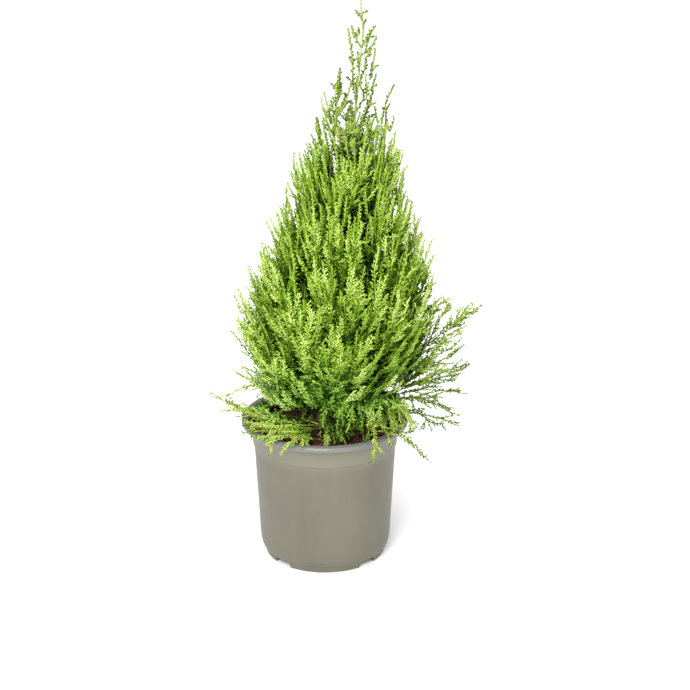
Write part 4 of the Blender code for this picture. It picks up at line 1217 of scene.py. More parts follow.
# How a drawn twig's depth is found, which the photo doesn't show. It starts at the depth of an
# earlier twig within "beside" pixels. Top twigs reach for the crown's outline, front and back
# in turn, fan twigs for a wave of depths, and "steepest" limits a twig's depth by its length.
depthForm = {"beside": 3.0, "onLeader": 2.6, "edge": (-0.02, 0.008), "reach": (0.35, 0.95),
             "wave": 0.022, "wander": 0.004, "turn": 2.4, "fanFoot": 0.35, "topFoot": 0.8,
             "steepest": {"top": 0.6 * 0.00107, "fan": 0.5 * 0.00112}}


def depthBeside(place, earlier):
    # The depth of the nearest point of the earlier twigs, or nothing where none is near.
    if not earlier:
        return None
    spots = np.concatenate(earlier)
    gap = np.hypot(*(inPicture(spots) - place).T)
    return spots[gap.argmin(), 1] if gap.min() < depthForm["beside"] else None


def depthsOf(kind, n, foot, tip, earlier, rng):
    d = depthForm
    own = depthBeside(foot, earlier)
    most = np.hypot(*(tip - foot)) * d["steepest"][kind]
    if kind == "fan":
        goal = d["wave"] * math.sin(n * d["turn"]) + rng.uniform(-d["wander"], d["wander"])
        start = goal * d["fanFoot"] if own is None else own
        return start, start + np.clip(goal - start, -most, most)
    trunkAtFoot, trunkAtTip = (trunkPoint(fromPicture(place, 1, 0.0)[2]) for place in (foot, tip))
    aside = fromPicture(tip, 1, 0.0)[0] - trunkAtTip[0]
    reach = np.interp(trunkAtTip[2], *crownReachAt.T)
    deep = math.sqrt(max(reach ** 2 - aside ** 2, 0)) * rng.uniform(*d["reach"]) * (1 if n % 2 else -1)
    if own is not None:
        return own, own + np.clip(deep - own, -most, most)
    if abs(foot[0] - np.interp(foot[1], *leaderInPicture.T)) < d["onLeader"]:
        return trunkAtFoot[1], trunkAtFoot[1] + deep
    near = min(abs(fromPicture(foot, 1, 0.0)[0] - trunkAtFoot[0]) / max(abs(aside), 1e-4), 1.0)
    return trunkAtFoot[1] + deep * near * d["topFoot"], trunkAtFoot[1] + deep


def twigPlaces(s, earlier, rng, edgeRng):
    # Foot, middle and tip of each twig of a group in the shared frame, to the millimetre.
    made = []
    for n, row in enumerate(s["twigs"]):
        places = np.array(row[:6]).reshape(3, 2)
        if s["depths"] == "heights":
            heights = np.array([*s.get("above", ()), *row[6:]]) / 1000
            twig = [fromPicture(place, 2, height) for place, height in zip(places, heights)]
        elif s["depths"] == "edge":
            depth = edgeRng.uniform(*depthForm["edge"])
            twig = [fromPicture(place, 1, depth) for place in places]
        else:
            start, end = depthsOf(s["depths"], n, places[0], places[2], earlier, rng)
            twig = [fromPicture(place, 1, start + (end - start) * share)
                    for place, share in zip(places, (0, 0.5, 1.0))]
            earlier.append(bezier(twig[0], through(*twig), twig[2], 12))
        made.append(twig)
    return np.round(np.array(made) * 1000) / 1000


def growDrawn():
    rng, edgeRng = seeded(5), seeded(3)
    earlier = {"top": [], "fan": []}
    for s in drawnTwigs.values():
        first, middle, last = twigPlaces(s, earlier.get(s["depths"]), rng,
                                         edgeRng).transpose(1, 0, 2)
        # A twig that starts beside the leader or another twig starts in it.
        lines = curves(first, through(first, middle, last), last)
        stem = bentLeader(trunkPoint(np.linspace(0.46, 0.63, 60)))
        spots = np.concatenate([lines.reshape(-1, 3), stem])
        whose = np.concatenate([np.repeat(np.arange(len(lines)), lines.shape[1]),
                                np.full(len(stem), -1)])
        away = np.linalg.norm(first[:, None] - spots[None], axis=-1)
        # Points below the foot are better than level ones, and higher ones don't count.
        away += 0.004 * (np.abs(first[:, None, 2] - spots[None, :, 2]) < 0.002)
        away[(whose[None] == np.arange(len(lines))[:, None])
             | (spots[None, :, 2] > first[:, None, 2] + 0.001)] = 1.0
        nearest = spots[away.argmin(1)]
        beside = (away.min(1) < s.get("joins", 0.0))[:, None]
        first = np.where(beside, nearest, first)
        lines = curves(first, through(first, middle, last), last)
        names = namesOf(s["names"])
        shareOut(lines, names, s["bare"], s["shift"], s["size"])
        for n, line in enumerate(lines if "side" in s else ()):
            side = spiresOn(line, seeded(8100 + n), clearOfPot, 0.22, 0.12,
                            *s["side"])
            shareOut(side, names, 0.12, s["shift"], s["size"] * 0.9)


leaderBend = {"shift": 0.0056, "from": (0.43, 0.50), "to": (0.600, 0.640), "reach": 0.014}


def eased(value, low, high):
    # 3 t^2 - 2 t^3 between the two.
    t = np.clip((value - low) / (high - low), 0, 1)
    return t * t * (3 - 2 * t)


def bentLeader(points):
    # The seen leader stands a few millimetres further right than its solid does.
    s = leaderBend
    distance, _ = roundTrunk(points.reshape(-1, 3))
    near = np.clip(1 - distance.reshape(points.shape[:-1]) / s["reach"], 0, 1)
    moved = points.copy()
    moved[..., 0] += s["shift"] * near * eased(points[..., 2], *s["from"]) \
        * (1 - eased(points[..., 2], *s["to"]))
    return moved


def bendCrown():
    for name, mass in masses.items():
        if name != "second_leader_mass":
            mass["cores"] = bentLeader(mass["cores"])
            mass["lines"] = [(bentLeader(part[0]), *part[1:]) for part in mass["lines"]]


def levelPoint(level, azimuth, depth):
    # The crown's outline, or a share of its reach, where a tier level's bowl meets it.
    low, high = crownReachAt[0, 0], trunkForm["tipZ"]
    for _ in range(30):
        z = (low + high) / 2
        if z - bowlRise(crownReach(z, azimuth)) < level:
            low = z
        else:
            high = z
    reach = crownReach(z, azimuth) * depth
    return trunkPoint(level + bowlRise(reach)) + outward(azimuth) * reach


def tierTargets(low, rise, middle, half, plumes, rng):
    targets, sides = [], plumes - 1
    for k in range(sides):
        spread = ((k + 1) * 0.618034) % 1.0 - 0.5
        step = ((2 * k + 1) % sides + 0.5) / sides
        level = low + rise * (0.12 + 0.76 * step + rng.uniform(-0.05, 0.05))
        inner = k % 4 == 3
        depth = rng.uniform(0.3, 0.4) if inner else rng.uniform(0.88, 1.05)
        targets.append((0.08 if inner else 0.10 + 0.45 * k / sides,
                        levelPoint(level, middle + spread * 1.86 * half, depth)))
    return targets


def growTiers():
    for tier, (label, low, high, count, first, plumes, shootShare) in enumerate(tiers):
        half = math.pi / count
        number = 0
        for n in range(count):
            middle = math.radians(first) + 2 * half * n
            seed = 100 * (tier + 1) + n
            rng = random.Random(seed + 5)
            if count == 4 and n == 2:
                if label == "top":
                    inside = tierSpace(low, tiers[-1][2], middle, half)
                    targets = tierTargets(low, high - low, middle, half, plumes, rng)
                    stem = carriedOn(limbLines["second_leader"][0], secondForm["tip"])
                    growMass("second_leader_mass", stem, targets, inside, seed, shootShare, 0.0)
                continue
            number += 1
            inside = tierSpace(low, high, middle, half)
            rise = high - low
            footZ = max(low + rise * rng.uniform(0.12, 0.26),
                        crownForm["lowestFoot"] + 0.003 * (n % 2))
            foot = fromTrunk(footZ, middle)
            end = levelPoint(low + rise * rng.uniform(0.5, 0.66), middle, rng.uniform(0.94, 1.04))
            stem = np.concatenate([foot[:1], swept(foot[1], end)])
            growMass(f"{label}_mass_{number}", stem,
                     tierTargets(low, rise, middle, half, plumes, rng), inside, seed, shootShare)


def growLowMass(name, entry, shares, seed, shootShare, **side):
    # side: whether it stays above or below the long spray's floor.
    stem = carriedOn(limbLines[name + "_bough"][0], polar(entry["tip"]))
    targets = [(share, polar(tip)) for share, tip in zip(shares, entry["tips"])]
    growMass(name + "_mass", stem, targets, lowSpace(entry["from"], entry["to"], **side), seed,
             shootShare, entry["bare"], entry["lift"], entry.get("unseen", ()))


def growLow():
    for n, entry in enumerate(lowMasses):
        shares = [0.24 + 0.36 * k / len(entry["tips"]) for k in range(len(entry["tips"]))]
        growLowMass(entry["name"], entry, shares, 900 + n, 0.26, below=n == 0)
    growLowMass("long_spray", longSpray, (0.1, 0.2), 950, 0.24, above=True)


def growLeader():
    tip = np.append(trunkPoint(trunkForm["tipZ"])[:2], trunkForm["tipZ"])
    ends = trunkPoint(np.array([trunkForm["topZ"] - 0.01, trunkForm["topZ"]]))

    def inside(spots):
        distance, _ = roundTrunk(spots)
        return spots[:, 2] - bowlRise(distance) > tiers[-1][2] + crownForm["spaceMargin"]
    growMass("leader_mass", carriedOn(ends, tip), [], inside, 970, 0.36, 0.0)


# Bark: thin, stringy and red-brown on a young cypress, green where the wood is this year's.

barkForm = {"rings": 260, "sides": 28, "ridge": 0.00042, "boughRings": 60, "boughSides": 14,
            "boughShare": 0.6}


def tubeMesh(name, points, radii, sides, ridge, seed):
    # point(row, turn) = line + radius (1 + ridges) (across cos turn + square sin turn),
    # with the two ends closed. Ridges run along the limb and wander round it.
    _, across, square = sideDirections(points)
    turn = turnsOf(sides)
    run = runAlong(points)
    wander = turn[None] + 0.35 * np.sin(run * 90 + seed)[:, None]
    places = np.stack([np.cos(wander) * 3.2, np.sin(wander) * 3.2,
                       np.broadcast_to(run[:, None] * 150, wander.shape)], -1)
    relief = np.abs(wave(places, seed)) + 0.5 * wave(places * 2.3, seed + 1)
    size = radii[:, None] - ridge * 0.5 + relief * ridge * 0.5 * (radii / radii.max())[:, None]
    grid = points[:, None] + size[..., None] * swung(across[:, None], square[:, None], turn)
    return meshFrom(name, grid.reshape(-1, 3), tubeFaces(len(points), sides))


def barkMaterial():
    made, tree, shader = newMaterial("stringyCypressBark", {"Roughness": 0.8})
    place = addPlace(tree)
    # Fibres about 1 mm wide that run up the stem.
    fibre = addNoise(tree, drawnOut(tree, place, 0.16), 900.0, 5.0, 0.65)
    wood = addRamp(tree, fibre, [(0.3, "#3a2417"), (0.48, "#6b4730"), (0.66, "#9a7654")])
    height = addNode(tree, "SeparateXYZ", links={"Vector": place}).outputs["Z"]
    young = addRange(tree, height, FromMin=0.34, FromMax=0.47)
    green = addRamp(tree, fibre, [(0.35, "#7b8f44"), (0.6, "#a0b062")])
    colour = addNode(tree, "Mix", None, {"Factor": young, "A": wood, "B": green},
                     data_type="RGBA")
    tree.links.new(colour.outputs["Result"], shader.inputs["Base Color"])
    addBump(tree, shader, fibre, 0.5, 0.0004)
    return made


def buildLimbs():
    look = barkMaterial()
    for n, (name, (points, radii)) in enumerate(limbLines.items()):
        thick = name == "trunk"
        rows = barkForm["rings" if thick else "boughRings"]
        if thick:
            heights = np.linspace(trunkForm["foot"][2], trunkForm["topZ"], rows)
            fine = bentLeader(trunkPoint(heights))
            size = trunkRadius(heights) * (1 - 0.25 * eased(heights, 0.44, 0.56))
        else:
            fine, run = resampled(points, rows), runAlong(points)
            size = np.interp(np.linspace(0, run[-1], rows), run, radii)
            if name != "second_leader":
                size = size * barkForm["boughShare"]
        mesh = tubeMesh(name + "_bark", fine, size, barkForm["sides" if thick else "boughSides"],
                        barkForm["ridge"] * (1 if thick else 0.5), 11 + n)
        addPiece(mesh, [look], [name])
    print("limbs:", len(limbLines))


# Foliage: scale-leaved sprays of a golden cypress. The eye sees lime tips, a clear
# yellow-green behind them, and deep green in the gaps. Colour is dealt out by spray.

needleTones = {
    "Crown": ("#152f02", "#3b6103", "#709a10", "#94b63d", "#a6c255", "#b3ca69", "#bed07b", "#c8d78d"),
    "Shade": ("#1a3b06", "#3b6812", "#69972a", "#8cb44a", "#9fc060", "#acc871", "#b6cf7f", "#bfd58c"),
    "Olive": ("#263a08", "#475f14", "#74882b", "#909f43", "#a1ae50", "#acb865", "#b5bf71", "#bec67e"),
}
toneCount = 8
# Parts of a spray's lightness, out of 1. Three numbers are an amount, a place in metres (for
# a tip a share of the twig) and the width over which the amount sets in.
# The outer part is partly the plant's own colour and partly painted shade; tip, left, high, and right with
# rightBelow are painted shade.
toneForm = {
    "least": 0.035, "outer": 0.55, "deepBy": 0.032, "along": 0.27, "tip": (0.26, 0.78, 0.22),
    "left": (0.10, -0.055, -0.03), "high": (0.09, 0.32, 0.12), "right": (0.15, 0.01, 0.08),
    "rightBelow": (0.36, -0.10), "topLeast": (0.24, 0.46, 0.05), "rimLeast": 0.16, "rim": 0.004,
}
# Where the hues lie: heights and distances from the trunk, each with its width.
hueForm = {
    "edge": (0.088, 0.030), "edgeOver": (0.185, 0.02), "shadeBelow": (0.27, -0.05),
    "shadeWidth": -0.02, "topFrom": (0.46, 0.07), "lowBelow": (0.30, -0.03),
    "pastEdge": (-0.008, 0.02), "lowMost": 0.6,
}
twigTones = ("#2d2f14", "#566c1e", "#8da63e", "#b5c66a")

sprayForm = {
    "spacing": 0.0022, "length": 0.0074, "lean": 48.0, "leanFall": 6.0, "lift": 0.08,
    "needles": (3, 4), "needleLength": (0.0036, 0.0021), "needleWidth": (0.0017, 0.0014),
    "needleLean": 24.0, "axisNeedles": 0.0024, "club": 0.00135, "fold": 0.22, "paleAxis": 0.20,
    "reachMargin": 0.0004, "innerFrom": 0.034, "rows": 0.5, "sway": 0.0020,
    "least": 0.0022, "perLength": 0.2, "luck": (0.72, 1.18), "low": 0.9, "darkCore": 0.9,
    "twig": (0.00095, 0.00070),
    # Towards the top: an amount, and the height and the width over which it sets in.
    "upright": (10, 0.26, 0.12), "shorter": (0.46, 0.34, 0.16), "thinned": (0.35, 0.43, 0.07),
    "thicker": (0.25, 0.44, 0.04),
}
# Tones of the twigs' bark, counted in steps of twigTones.
twigToneForm = {
    "outer": 4.2, "deepBy": 0.050, "young": 0.3, "youngOver": (0.40, 0.10), "change": 5,
    "bareFoot": 2.0, "topLeast": 2.2, "topOver": (0.46, 0.04), "mostFrom": 0.40, "most": 2.4,
}


def alongLines(lines, owner, share):
    # Point and direction at a share of each line.
    at = share * (lines.shape[1] - 1)
    i = np.minimum(at.astype(int), lines.shape[1] - 2)
    a, b = lines[owner, i], lines[owner, i + 1]
    return a + (b - a) * (at - i)[:, None], unit(b - a)


def spread(lines, bare, spacing, rng):
    # Places along every line past its bare part: (line, number on it, share of the line).
    counts = np.maximum(2, np.round(lengthOf(lines) * (1 - bare) / spacing)).astype(int)
    owner = np.repeat(np.arange(len(lines)), counts)
    order = np.arange(len(owner)) - np.repeat(np.cumsum(counts) - counts, counts)
    share = (order + rng.uniform(0.2, 0.8, len(owner))) / counts[owner]
    return owner, order, bare[owner] + (1 - bare[owner]) * share


def around(tangent, turn):
    # The direction square to the tangent at that turn.
    helper = np.where(np.abs(tangent[:, 2:]) < 0.9, [[0.0, 0.0, 1.0]], [[1.0, 0.0, 0.0]])
    u = unit(np.cross(tangent, helper))
    return swung(u, np.cross(tangent, u), turn)


def spraysOn(lines, bare, scale, rng):
    # Twiglets in two loose rows along each line, to either side as seen from outside the
    # crown, shorter and closer-lying towards its tip.
    s = sprayForm
    owner, order, share = spread(lines, bare, s["spacing"], rng)
    start, tangent = alongLines(lines, owner, share)
    _, azimuth = roundTrunk(start)
    aside = np.cross(upward, levelWays(azimuth))
    across = unit(aside - tangent * (aside * tangent).sum(-1, keepdims=True) + 1e-6)
    square = np.cross(tangent, across)
    turn = order * math.pi + rng.normal(0, s["rows"], len(owner))
    height = start[:, 2]
    lean = np.radians(s["lean"] - s["leanFall"] * share - partRising(height, *s["upright"])
                      + rng.normal(0, 8, len(owner)))
    way = unit(swung(tangent, swung(across, square, turn), lean) + np.array([0, 0, s["lift"]]))
    size = np.minimum(s["length"], s["least"] + s["perLength"] * lengthOf(lines)[owner])
    size *= np.where(scale[owner] < 0.99, s["low"] * scale[owner],
                     1 - partRising(height, *s["shorter"]))
    size *= (0.6 + 0.4 * np.minimum(share / 0.2, 1)) * (1 - 0.42 * share ** 2.0)
    size *= rng.uniform(*s["luck"], len(owner))
    end = start + way * size[:, None]
    good = clearOfLimbs(end, s["reachMargin"]) & clearOfPot(end) & inBox(end, 0.0)
    thin = partRising(height, *s["thinned"]) * (scale[owner] > 0.99)
    good &= rng.random(len(end)) > thin
    return {"start": start[good], "way": way[good], "size": size[good], "share": share[good],
            "owner": owner[good]}


def wavy(lines, rng, reach):
    # A slow sideways sway, nothing at the foot and most beyond the middle.
    count, rows = lines.shape[:2]
    share = np.linspace(0, 1, rows)[None, :, None]
    phase = rng.uniform(0, 2 * math.pi, (count, 1, 3))
    turns = rng.uniform(0.6, 1.3, (count, 1, 3))
    sway = np.sin(share * turns * 2 * math.pi + phase) - np.sin(phase)
    return lines + sway * share ** 0.8 * (1 - 0.6 * share) * reach[:, None, None]


def needleBlades(base, way, outside, length, width):
    # A blade: base, two shoulders at 45% of the length, and tip, folded along its middle.
    across = unit(np.cross(way, outside)) * width[:, None] * 0.5
    rib = unit(np.cross(across, way))
    middle = base + way * length[:, None] * 0.45 - rib * (width * sprayForm["fold"])[:, None]
    tip = base + way * length[:, None]
    points = np.stack([base, middle + across, middle - across, tip], 1)
    number = np.arange(len(base))[:, None] * 4
    faces = np.concatenate([number + [0, 1, 3], number + [0, 3, 2]], 1).reshape(-1, 3)
    return points.reshape(-1, 3), faces


def insetOf(places):
    # How far a place lies inside the crown's outline.
    distance, azimuth = roundTrunk(places)
    return crownReach(places[:, 2], azimuth) - distance


def hueOf(place, rng):
    # 0 golden crown, 1 cooler green in the shade under it, 2 olive at the top and the tips
    # of the outermost low sprays; neighbours mix where these meet.
    h = hueForm
    distance, _ = roundTrunk(place)
    luck = rng.random((2, len(place)))
    height = place[:, 2]
    edge = h["edge"][0] + h["edge"][1] * rising(height, *h["edgeOver"])
    shade = rising(height, *h["shadeBelow"]) * rising(distance, edge, h["shadeWidth"])
    olive = np.maximum(rising(height, *h["topFrom"]), rising(height, *h["lowBelow"])
                       * np.minimum(rising(distance - edge, *h["pastEdge"]), h["lowMost"]))
    return np.where(luck[0] < shade, 1, np.where(luck[1] < olive, 2, 0))


def toneOf(place, share, luck, rng):
    # The outer twigs are light and the inner parts deep green: partly the plant's own colour and
    # partly painted shade. The last few millimetres of each twig are duller again, and so are both
    # sides and the top: painted shade. Floors keep the top and the twigs near the outline from
    # going too dark.
    t, inset, (x, _, height) = toneForm, insetOf(place), place.T
    out = np.exp(-np.maximum(inset, 0) / t["deepBy"])
    value = t["least"] + t["outer"] * out + t["along"] * share * (0.3 + 0.7 * out) + luck
    value -= partRising(share, *t["tip"])
    value -= partRising(x, *t["left"])
    value -= partRising(height, *t["high"]) + partRising(x, *t["right"]) * rising(
        height, *t["rightBelow"])
    value = np.maximum(value, np.maximum(partRising(height, *t["topLeast"]),
                                         t["rimLeast"] * (inset < t["rim"])))
    tone = np.clip((value * toneCount).astype(int), 0, toneCount - 1)
    return tone + hueOf(place, rng) * toneCount


# Low sprays lie in the crown's shade and are duller than its outer twigs.
toneShift = {"low_right_mass": -0.33, "low_right_back_mass": -0.22, "low_back_mass": -0.15,
             "low_left_back_mass": -0.15, "low_left_mass": -0.20, "low_front_mass": -0.18,
             "low_right_front_mass": -0.19, "long_spray_mass": -0.24}


def addFoliage(name, rng, leaves):
    # Needle blades with their tones, and twigs with theirs, of one mass.
    s, mass = sprayForm, masses[name]
    low = name.startswith(lowStarts)
    parts = [part for part in mass["lines"] if len(part[0])]
    lineBare, lineShift, lineSize = (
        np.concatenate([np.full(len(part[0]), part[k]) for part in parts]) for k in (1, 2, 3))
    lines = wavy(np.concatenate([part[0] for part in parts]), rng,
                 s["sway"] * np.where(lineSize < 0.99, 0.2, 1.0))
    leader = name.endswith("leader_mass")
    shown = np.full(len(mass["cores"]), True) if name == "leader_mass" else \
        mass["cores"][:, -1, 2] < (0.57 if leader else topFrom + 0.01)
    shown &= mass["seen"]
    cores = mass["cores"][shown]
    coreBare = np.maximum(mass["bares"][shown], 0.6 if leader else 0.1 if low else 0.25)
    coreSize = np.full(len(cores), 0.44 if leader else 0.7 if low else 1.0)
    shift = toneShift.get(name, 0.0)
    for axes, bare, shifts, scale in ((cores, coreBare, shift, coreSize),
                                      (lines, lineBare, np.minimum(lineShift, shift), lineSize)):
        if len(axes):
            leavesOn(axes, bare, shifts, scale, rng, leaves)
    if len(cores):
        leaves["tubes"].append(twigTubes(
            cores, 5, shootForm["core"] * (0.5 if low else 0.8), shootForm["coreTip"] * 0.6,
            coreBare, np.full(len(cores), shift), s["darkCore"], leader))
    fine = np.where(lines[:, 0, 2] > 0.47, 1.2, np.where(lineSize < 0.99, 0.8, 1.0))
    if len(lines):
        leaves["tubes"].append(twigTubes(
            lines[:, [0, 2, 4, 7]], 3, s["twig"][0] * fine, s["twig"][1] * fine, lineBare,
            0.8 * np.minimum(lineShift, shift), 0.0, leader))


def leavesOn(axes, bare, shifts, scale, rng, leaves):
    # Twiglets with their needles and stems, and scale leaves, along a set of twigs.
    s = sprayForm
    luck = shifts + rng.normal(0, 0.08, len(axes))
    spray = spraysOn(axes, bare, scale, rng)
    place = spray["start"] + spray["way"] * spray["size"][:, None] * 0.6
    toneNow = toneOf(place, spray["share"],
                     luck[spray["owner"]] + rng.normal(0, 0.02, len(place)), rng)
    inner = insetOf(place) > s["innerFrom"]
    for deep, n, longest, widest in zip((True, False), s["needles"], s["needleLength"],
                                        s["needleWidth"]):
        # Deep in the crown needles are fewer and larger, where only their shade shows.
        part = {key: values[inner == deep] for key, values in spray.items()}
        if len(part["start"]):
            leaves["blades"].append(twigletNeedles(part, n, longest, widest, rng))
            leaves["tones"].append(np.repeat(toneNow[inner == deep], n * 2))
            leaves["stems"].append(twigletStems(part))
            leaves["stemTones"].append(np.repeat(toneNow[inner == deep] + len(twigTones), 6))
    # Scale leaves on the twig itself, closest near its tip. They are paler than its sprays,
    # and it shows as a light line through them.
    owner, order, share = spread(axes, bare, s["axisNeedles"], rng)
    share = bare[owner] + (1 - bare[owner]) * ((share - bare[owner]) / (1 - bare[owner])) ** 0.5
    base, way = alongLines(axes, owner, share)
    side = around(way, order * goldenTurn)
    lean = np.radians(rng.uniform(10, 24, len(owner)) * (1 - 0.6 * share ** 4))
    leaves["blades"].append(needleBlades(base, swung(way, side, lean), side,
                                         s["needleLength"][1] * rng.uniform(0.8, 1.2, len(owner)),
                                         np.full(len(owner), s["needleWidth"][1])))
    leaves["tones"].append(np.repeat(toneOf(base, share, luck[owner] + s["paleAxis"], rng), 2))


def twigletNeedles(part, n, longest, widest, rng):
    # Needles up each twiglet, turning by the golden angle, the last one at its tip.
    count = len(part["start"])
    step = (np.arange(n) + 0.6) / n
    base = part["start"][:, None] + part["way"][:, None] \
        * (part["size"][:, None] * step * 0.90)[..., None]
    way = np.repeat(part["way"], n, 0)
    turn = (np.arange(n) * goldenTurn)[None] + rng.uniform(0, 2 * math.pi, (count, 1))
    side = around(way, turn.ravel())
    lean = np.radians(sprayForm["needleLean"] * (1 - 0.8 * step ** 3))[None].repeat(count, 0)
    aim = swung(way, side, lean.ravel() * rng.uniform(0.8, 1.2, count * n))
    length = longest * rng.uniform(0.8, 1.15, count * n)
    length *= np.repeat(0.5 + 0.5 * np.minimum(part["size"] / sprayForm["length"], 1), n)
    width = widest * rng.uniform(0.85, 1.1, count * n)
    return needleBlades(base.reshape(-1, 3), aim, side, length, width)


def twigTubes(axes, sides, thick, thin, bare, change, darker, leader):
    # Tubes along twigs and a tone for each face: light near the crown's outline, green and
    # young high up, and dark on the bare foot of a plume.
    t = twigToneForm
    made, walls, ends = tubes(axes, thick, thin, sides)
    first = made[walls[:, 0]]
    rows = len(walls) // len(axes)
    change, bare = np.repeat(change, rows), np.repeat(bare, rows)
    share = np.tile(np.repeat(np.arange(rows // sides) + 0.5, sides), len(axes)) * sides / rows
    # A spray's tone shift lowers its twigs' tones too: painted shade.
    mark = (np.exp(-np.maximum(insetOf(first), 0) / t["deepBy"]) * t["outer"]
            + t["young"] * rising(first[:, 2], *t["youngOver"]) + change * t["change"] - darker)
    if not leader:
        mark -= t["bareFoot"] * (share < bare) * (bare > 0.25)
    mark = np.maximum(mark, t["topLeast"] * rising(first[:, 2], *t["topOver"]))
    mark = np.where(first[:, 2] > t["mostFrom"], np.minimum(mark, t["most"]), mark)
    return made, (walls, ends), (np.clip(mark.astype(int), 0, 3), np.ones(len(ends), int))


def twigletStems(spray):
    # A green club under each twiglet's needles: a foot, a ring of three at 62%, and a tip.
    start, way, size = spray["start"], spray["way"], spray["size"][:, None]
    u = around(way, spray["share"] * 40)
    v = np.cross(way, u)
    thick = (sprayForm["club"] * (0.7 + 0.3 * size / sprayForm["length"])
             * (1 + partRising(start[:, 2:], *sprayForm["thicker"])))[..., None]
    ring = (start + way * size * 0.62)[:, None] + thick * swung(u[:, None], v[:, None], turnsOf(3))
    points = np.concatenate([start[:, None], ring, (start + way * size)[:, None]], 1)
    number = np.arange(len(way))[:, None] * 5
    faces = np.concatenate([number + corner for corner in (
        [0, 2, 1], [0, 3, 2], [0, 1, 3], [1, 2, 4], [2, 3, 4], [3, 1, 4])], 1)
    return points.reshape(-1, 3), faces.reshape(-1, 3)


def tubes(lines, thick, thin, sides):
    # Tapering tubes along many lines at once, closed at both ends.
    count, rows = lines.shape[:2]
    way = unit(np.gradient(lines, axis=1))
    helper = unit(np.cross(lines[:, -1] - lines[:, 0], [0.31, -0.17, 0.94]))[:, None]
    u = unit(np.cross(way, np.broadcast_to(helper, way.shape)))
    v = np.cross(way, u)
    size = np.linspace(thick, thin, rows).T.reshape(-1, rows, 1, 1)
    grid = lines[:, :, None] + size * swung(u[:, :, None], v[:, :, None], turnsOf(sides))
    return grid.reshape(-1, 3), *manyTubes(count, rows, sides)


def joined(parts):
    # One array of points and one of faces, with each part's vertex numbers moved on.
    start = np.cumsum([0] + [len(points) for points, _ in parts[:-1]])
    return (np.concatenate([points for points, _ in parts]),
            np.concatenate([faces + n for n, (_, faces) in zip(start, parts)]))


def plainTone(name, colour, rough):
    return newMaterial(name, {"Base Color": linear(colour), "Roughness": rough, "IOR": 1.42,
                              "Specular IOR Level": 0.2})[0]


foliageGroups = (
    ("low", ("low_", "long_spray")),
    ("lower", ("lower_",)),
    ("middle", ("middle_",)),
    ("upper_middle", ("upper_middle_",)),
    ("upper", ("upper_mass",)),
    ("crown_top", ("top_", "crest_", "second_leader_", "leader_")),
)


def buildFoliage():
    needleLooks = [plainTone(f"cypress{hue}Tone{n + 1}", colour, 0.55)
                   for hue, colours in needleTones.items() for n, colour in enumerate(colours)]
    twigLooks = [plainTone(f"cypressTwigTone{n + 1}", colour, 0.65)
                 for n, colour in enumerate(twigTones)]
    rng = seeded(2024)
    total = 0
    for label, starts in foliageGroups:
        names = namesOf(starts)
        leaves = {key: [] for key in ("blades", "tones", "stems", "stemTones", "tubes")}
        for name in names:
            addFoliage(name, rng, leaves)
        points, faces = joined(leaves["blades"])
        mesh = meshFrom(f"needles_{label}", points, [faces])
        addPiece(mesh, needleLooks, names, smooth=False,
                 looks=np.concatenate(leaves["tones"]))
        points, stemFaces = joined(leaves["stems"])
        pointSets, faceSets, looks, start = [points], [stemFaces], leaves["stemTones"], len(points)
        for made, sets, marks in leaves["tubes"]:
            pointSets.append(made)
            faceSets += [faceSet + start for faceSet in sets]
            looks += marks
            start += len(made)
        mesh = meshFrom(f"twigs_{label}", np.concatenate(pointSets), faceSets)
        addPiece(mesh, twigLooks + needleLooks, names, looks=np.concatenate(looks))
        count = len(faces) + sum(len(f) * (f.shape[1] - 2) for f in faceSets)
        total += count
        print(f"foliage {label}: {len(names)} masses, {count} triangles")
    print("foliage in all:", total)


# Stage, light and camera

lightForm = {
    "front": 1.50, "back": 0.34, "aim": np.array([0.02, 0.0, 0.3]), "floor": (9.0, -0.0004),
    "lamps": (("key", (-0.35, -2.2, 1.7), 1.3, 64.0), ("fill", (1.9, -1.6, 1.1), 1.2, 1.0),
              ("top", (-0.3, -0.3, 2.5), 1.3, 18.0)),
}


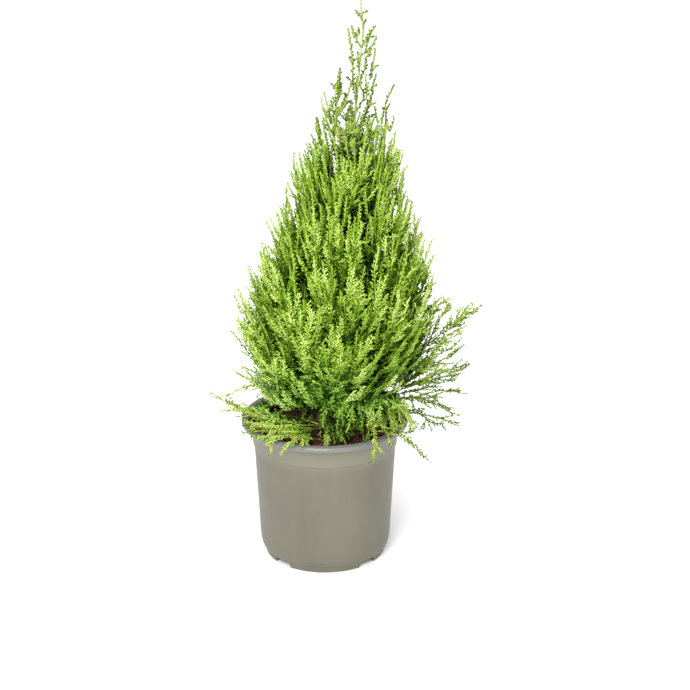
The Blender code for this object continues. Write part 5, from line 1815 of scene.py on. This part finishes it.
def buildStage():
    half, height = lightForm["floor"]
    mesh = bpy.data.meshes.new("floor")
    mesh.from_pydata([(x * half, y * half, height) for x, y in ((-1, -1), (1, -1), (1, 1), (-1, 1))],
                     [], [(0, 1, 2, 3)])
    floor = addObject("floor", mesh)
    made, tree, shader = newMaterial("paperSweepMatt",
                                     {"Roughness": 0.9, "Specular IOR Level": 0.2})
    tooth = addNoise(tree, addPlace(tree), 400.0, 2.0)
    tree.links.new(addRamp(tree, tooth, [(0.3, "#f6f6f5"), (0.7, "#fbfbfa")]),
                   shader.inputs["Base Color"])
    mesh.materials.append(made)

    world = bpy.data.worlds.new("softSky")
    world.use_nodes = True
    # The sky is a broad soft light, strongest from the front left and above.
    tree = world.node_tree
    way = addNode(tree, "TexCoord").outputs["Generated"]
    side = addNode(tree, "VectorMath", {1: (0.22, 0.92, -0.34)}, {0: way}, operation="DOT_PRODUCT")
    strength = addRange(tree, side.outputs["Value"], FromMin=-0.8, FromMax=0.8,
                        ToMin=lightForm["front"], ToMax=lightForm["back"])
    tree.links.new(strength, tree.nodes["Background"].inputs["Strength"])
    tree.nodes["Background"].inputs["Color"].default_value = (1, 1, 1, 1)
    bpy.context.scene.world = world
    for name, place, size, power in lightForm["lamps"]:
        lamp = bpy.data.lights.new(name, "AREA")
        lamp.shape = "DISK"
        lamp.size = size
        lamp.energy = power
        holder = addObject(name, lamp)
        holder.location = place
        holder.rotation_euler = aimed(np.array(place), lightForm["aim"])


def aimed(place, target):
    # Turns about X then Z that point -Z from the place to the target.
    way = target - place
    level = math.hypot(way[0], way[1])
    return (math.atan2(level, -way[2]), 0.0, math.atan2(-way[0], way[1]))


def buildCamera():
    c = cameraForm
    camera = bpy.data.cameras.new("camera")
    camera.sensor_width = c["sensor"]
    camera.lens = c["focal"] / c["width"] * c["sensor"]
    camera.clip_end = 60.0
    holder = addObject("camera", camera)
    holder.location = np.array(c["target"]) - sightAxes()[1] * c["distance"]
    holder.rotation_euler = (math.pi / 2 - math.radians(c["pitch"]), 0.0, 0.0)
    bpy.context.scene.camera = holder
    bpy.context.scene.view_settings.view_transform = "Standard"


buildPot()
print("pot done")
buildMulch()
buildLimbs()
growTiers()
growLow()
growLeader()
growTrunkSpires()
growSurface()
growSkirt()
bendCrown()
growDrawn()
print("grown:", len(masses), "masses,", sum(len(m["cores"]) for m in masses.values()), "plumes,",
      sum(len(part[0]) for m in masses.values() for part in m["lines"]), "shoots and spires")
buildFoliage()
buildStage()
buildCamera()
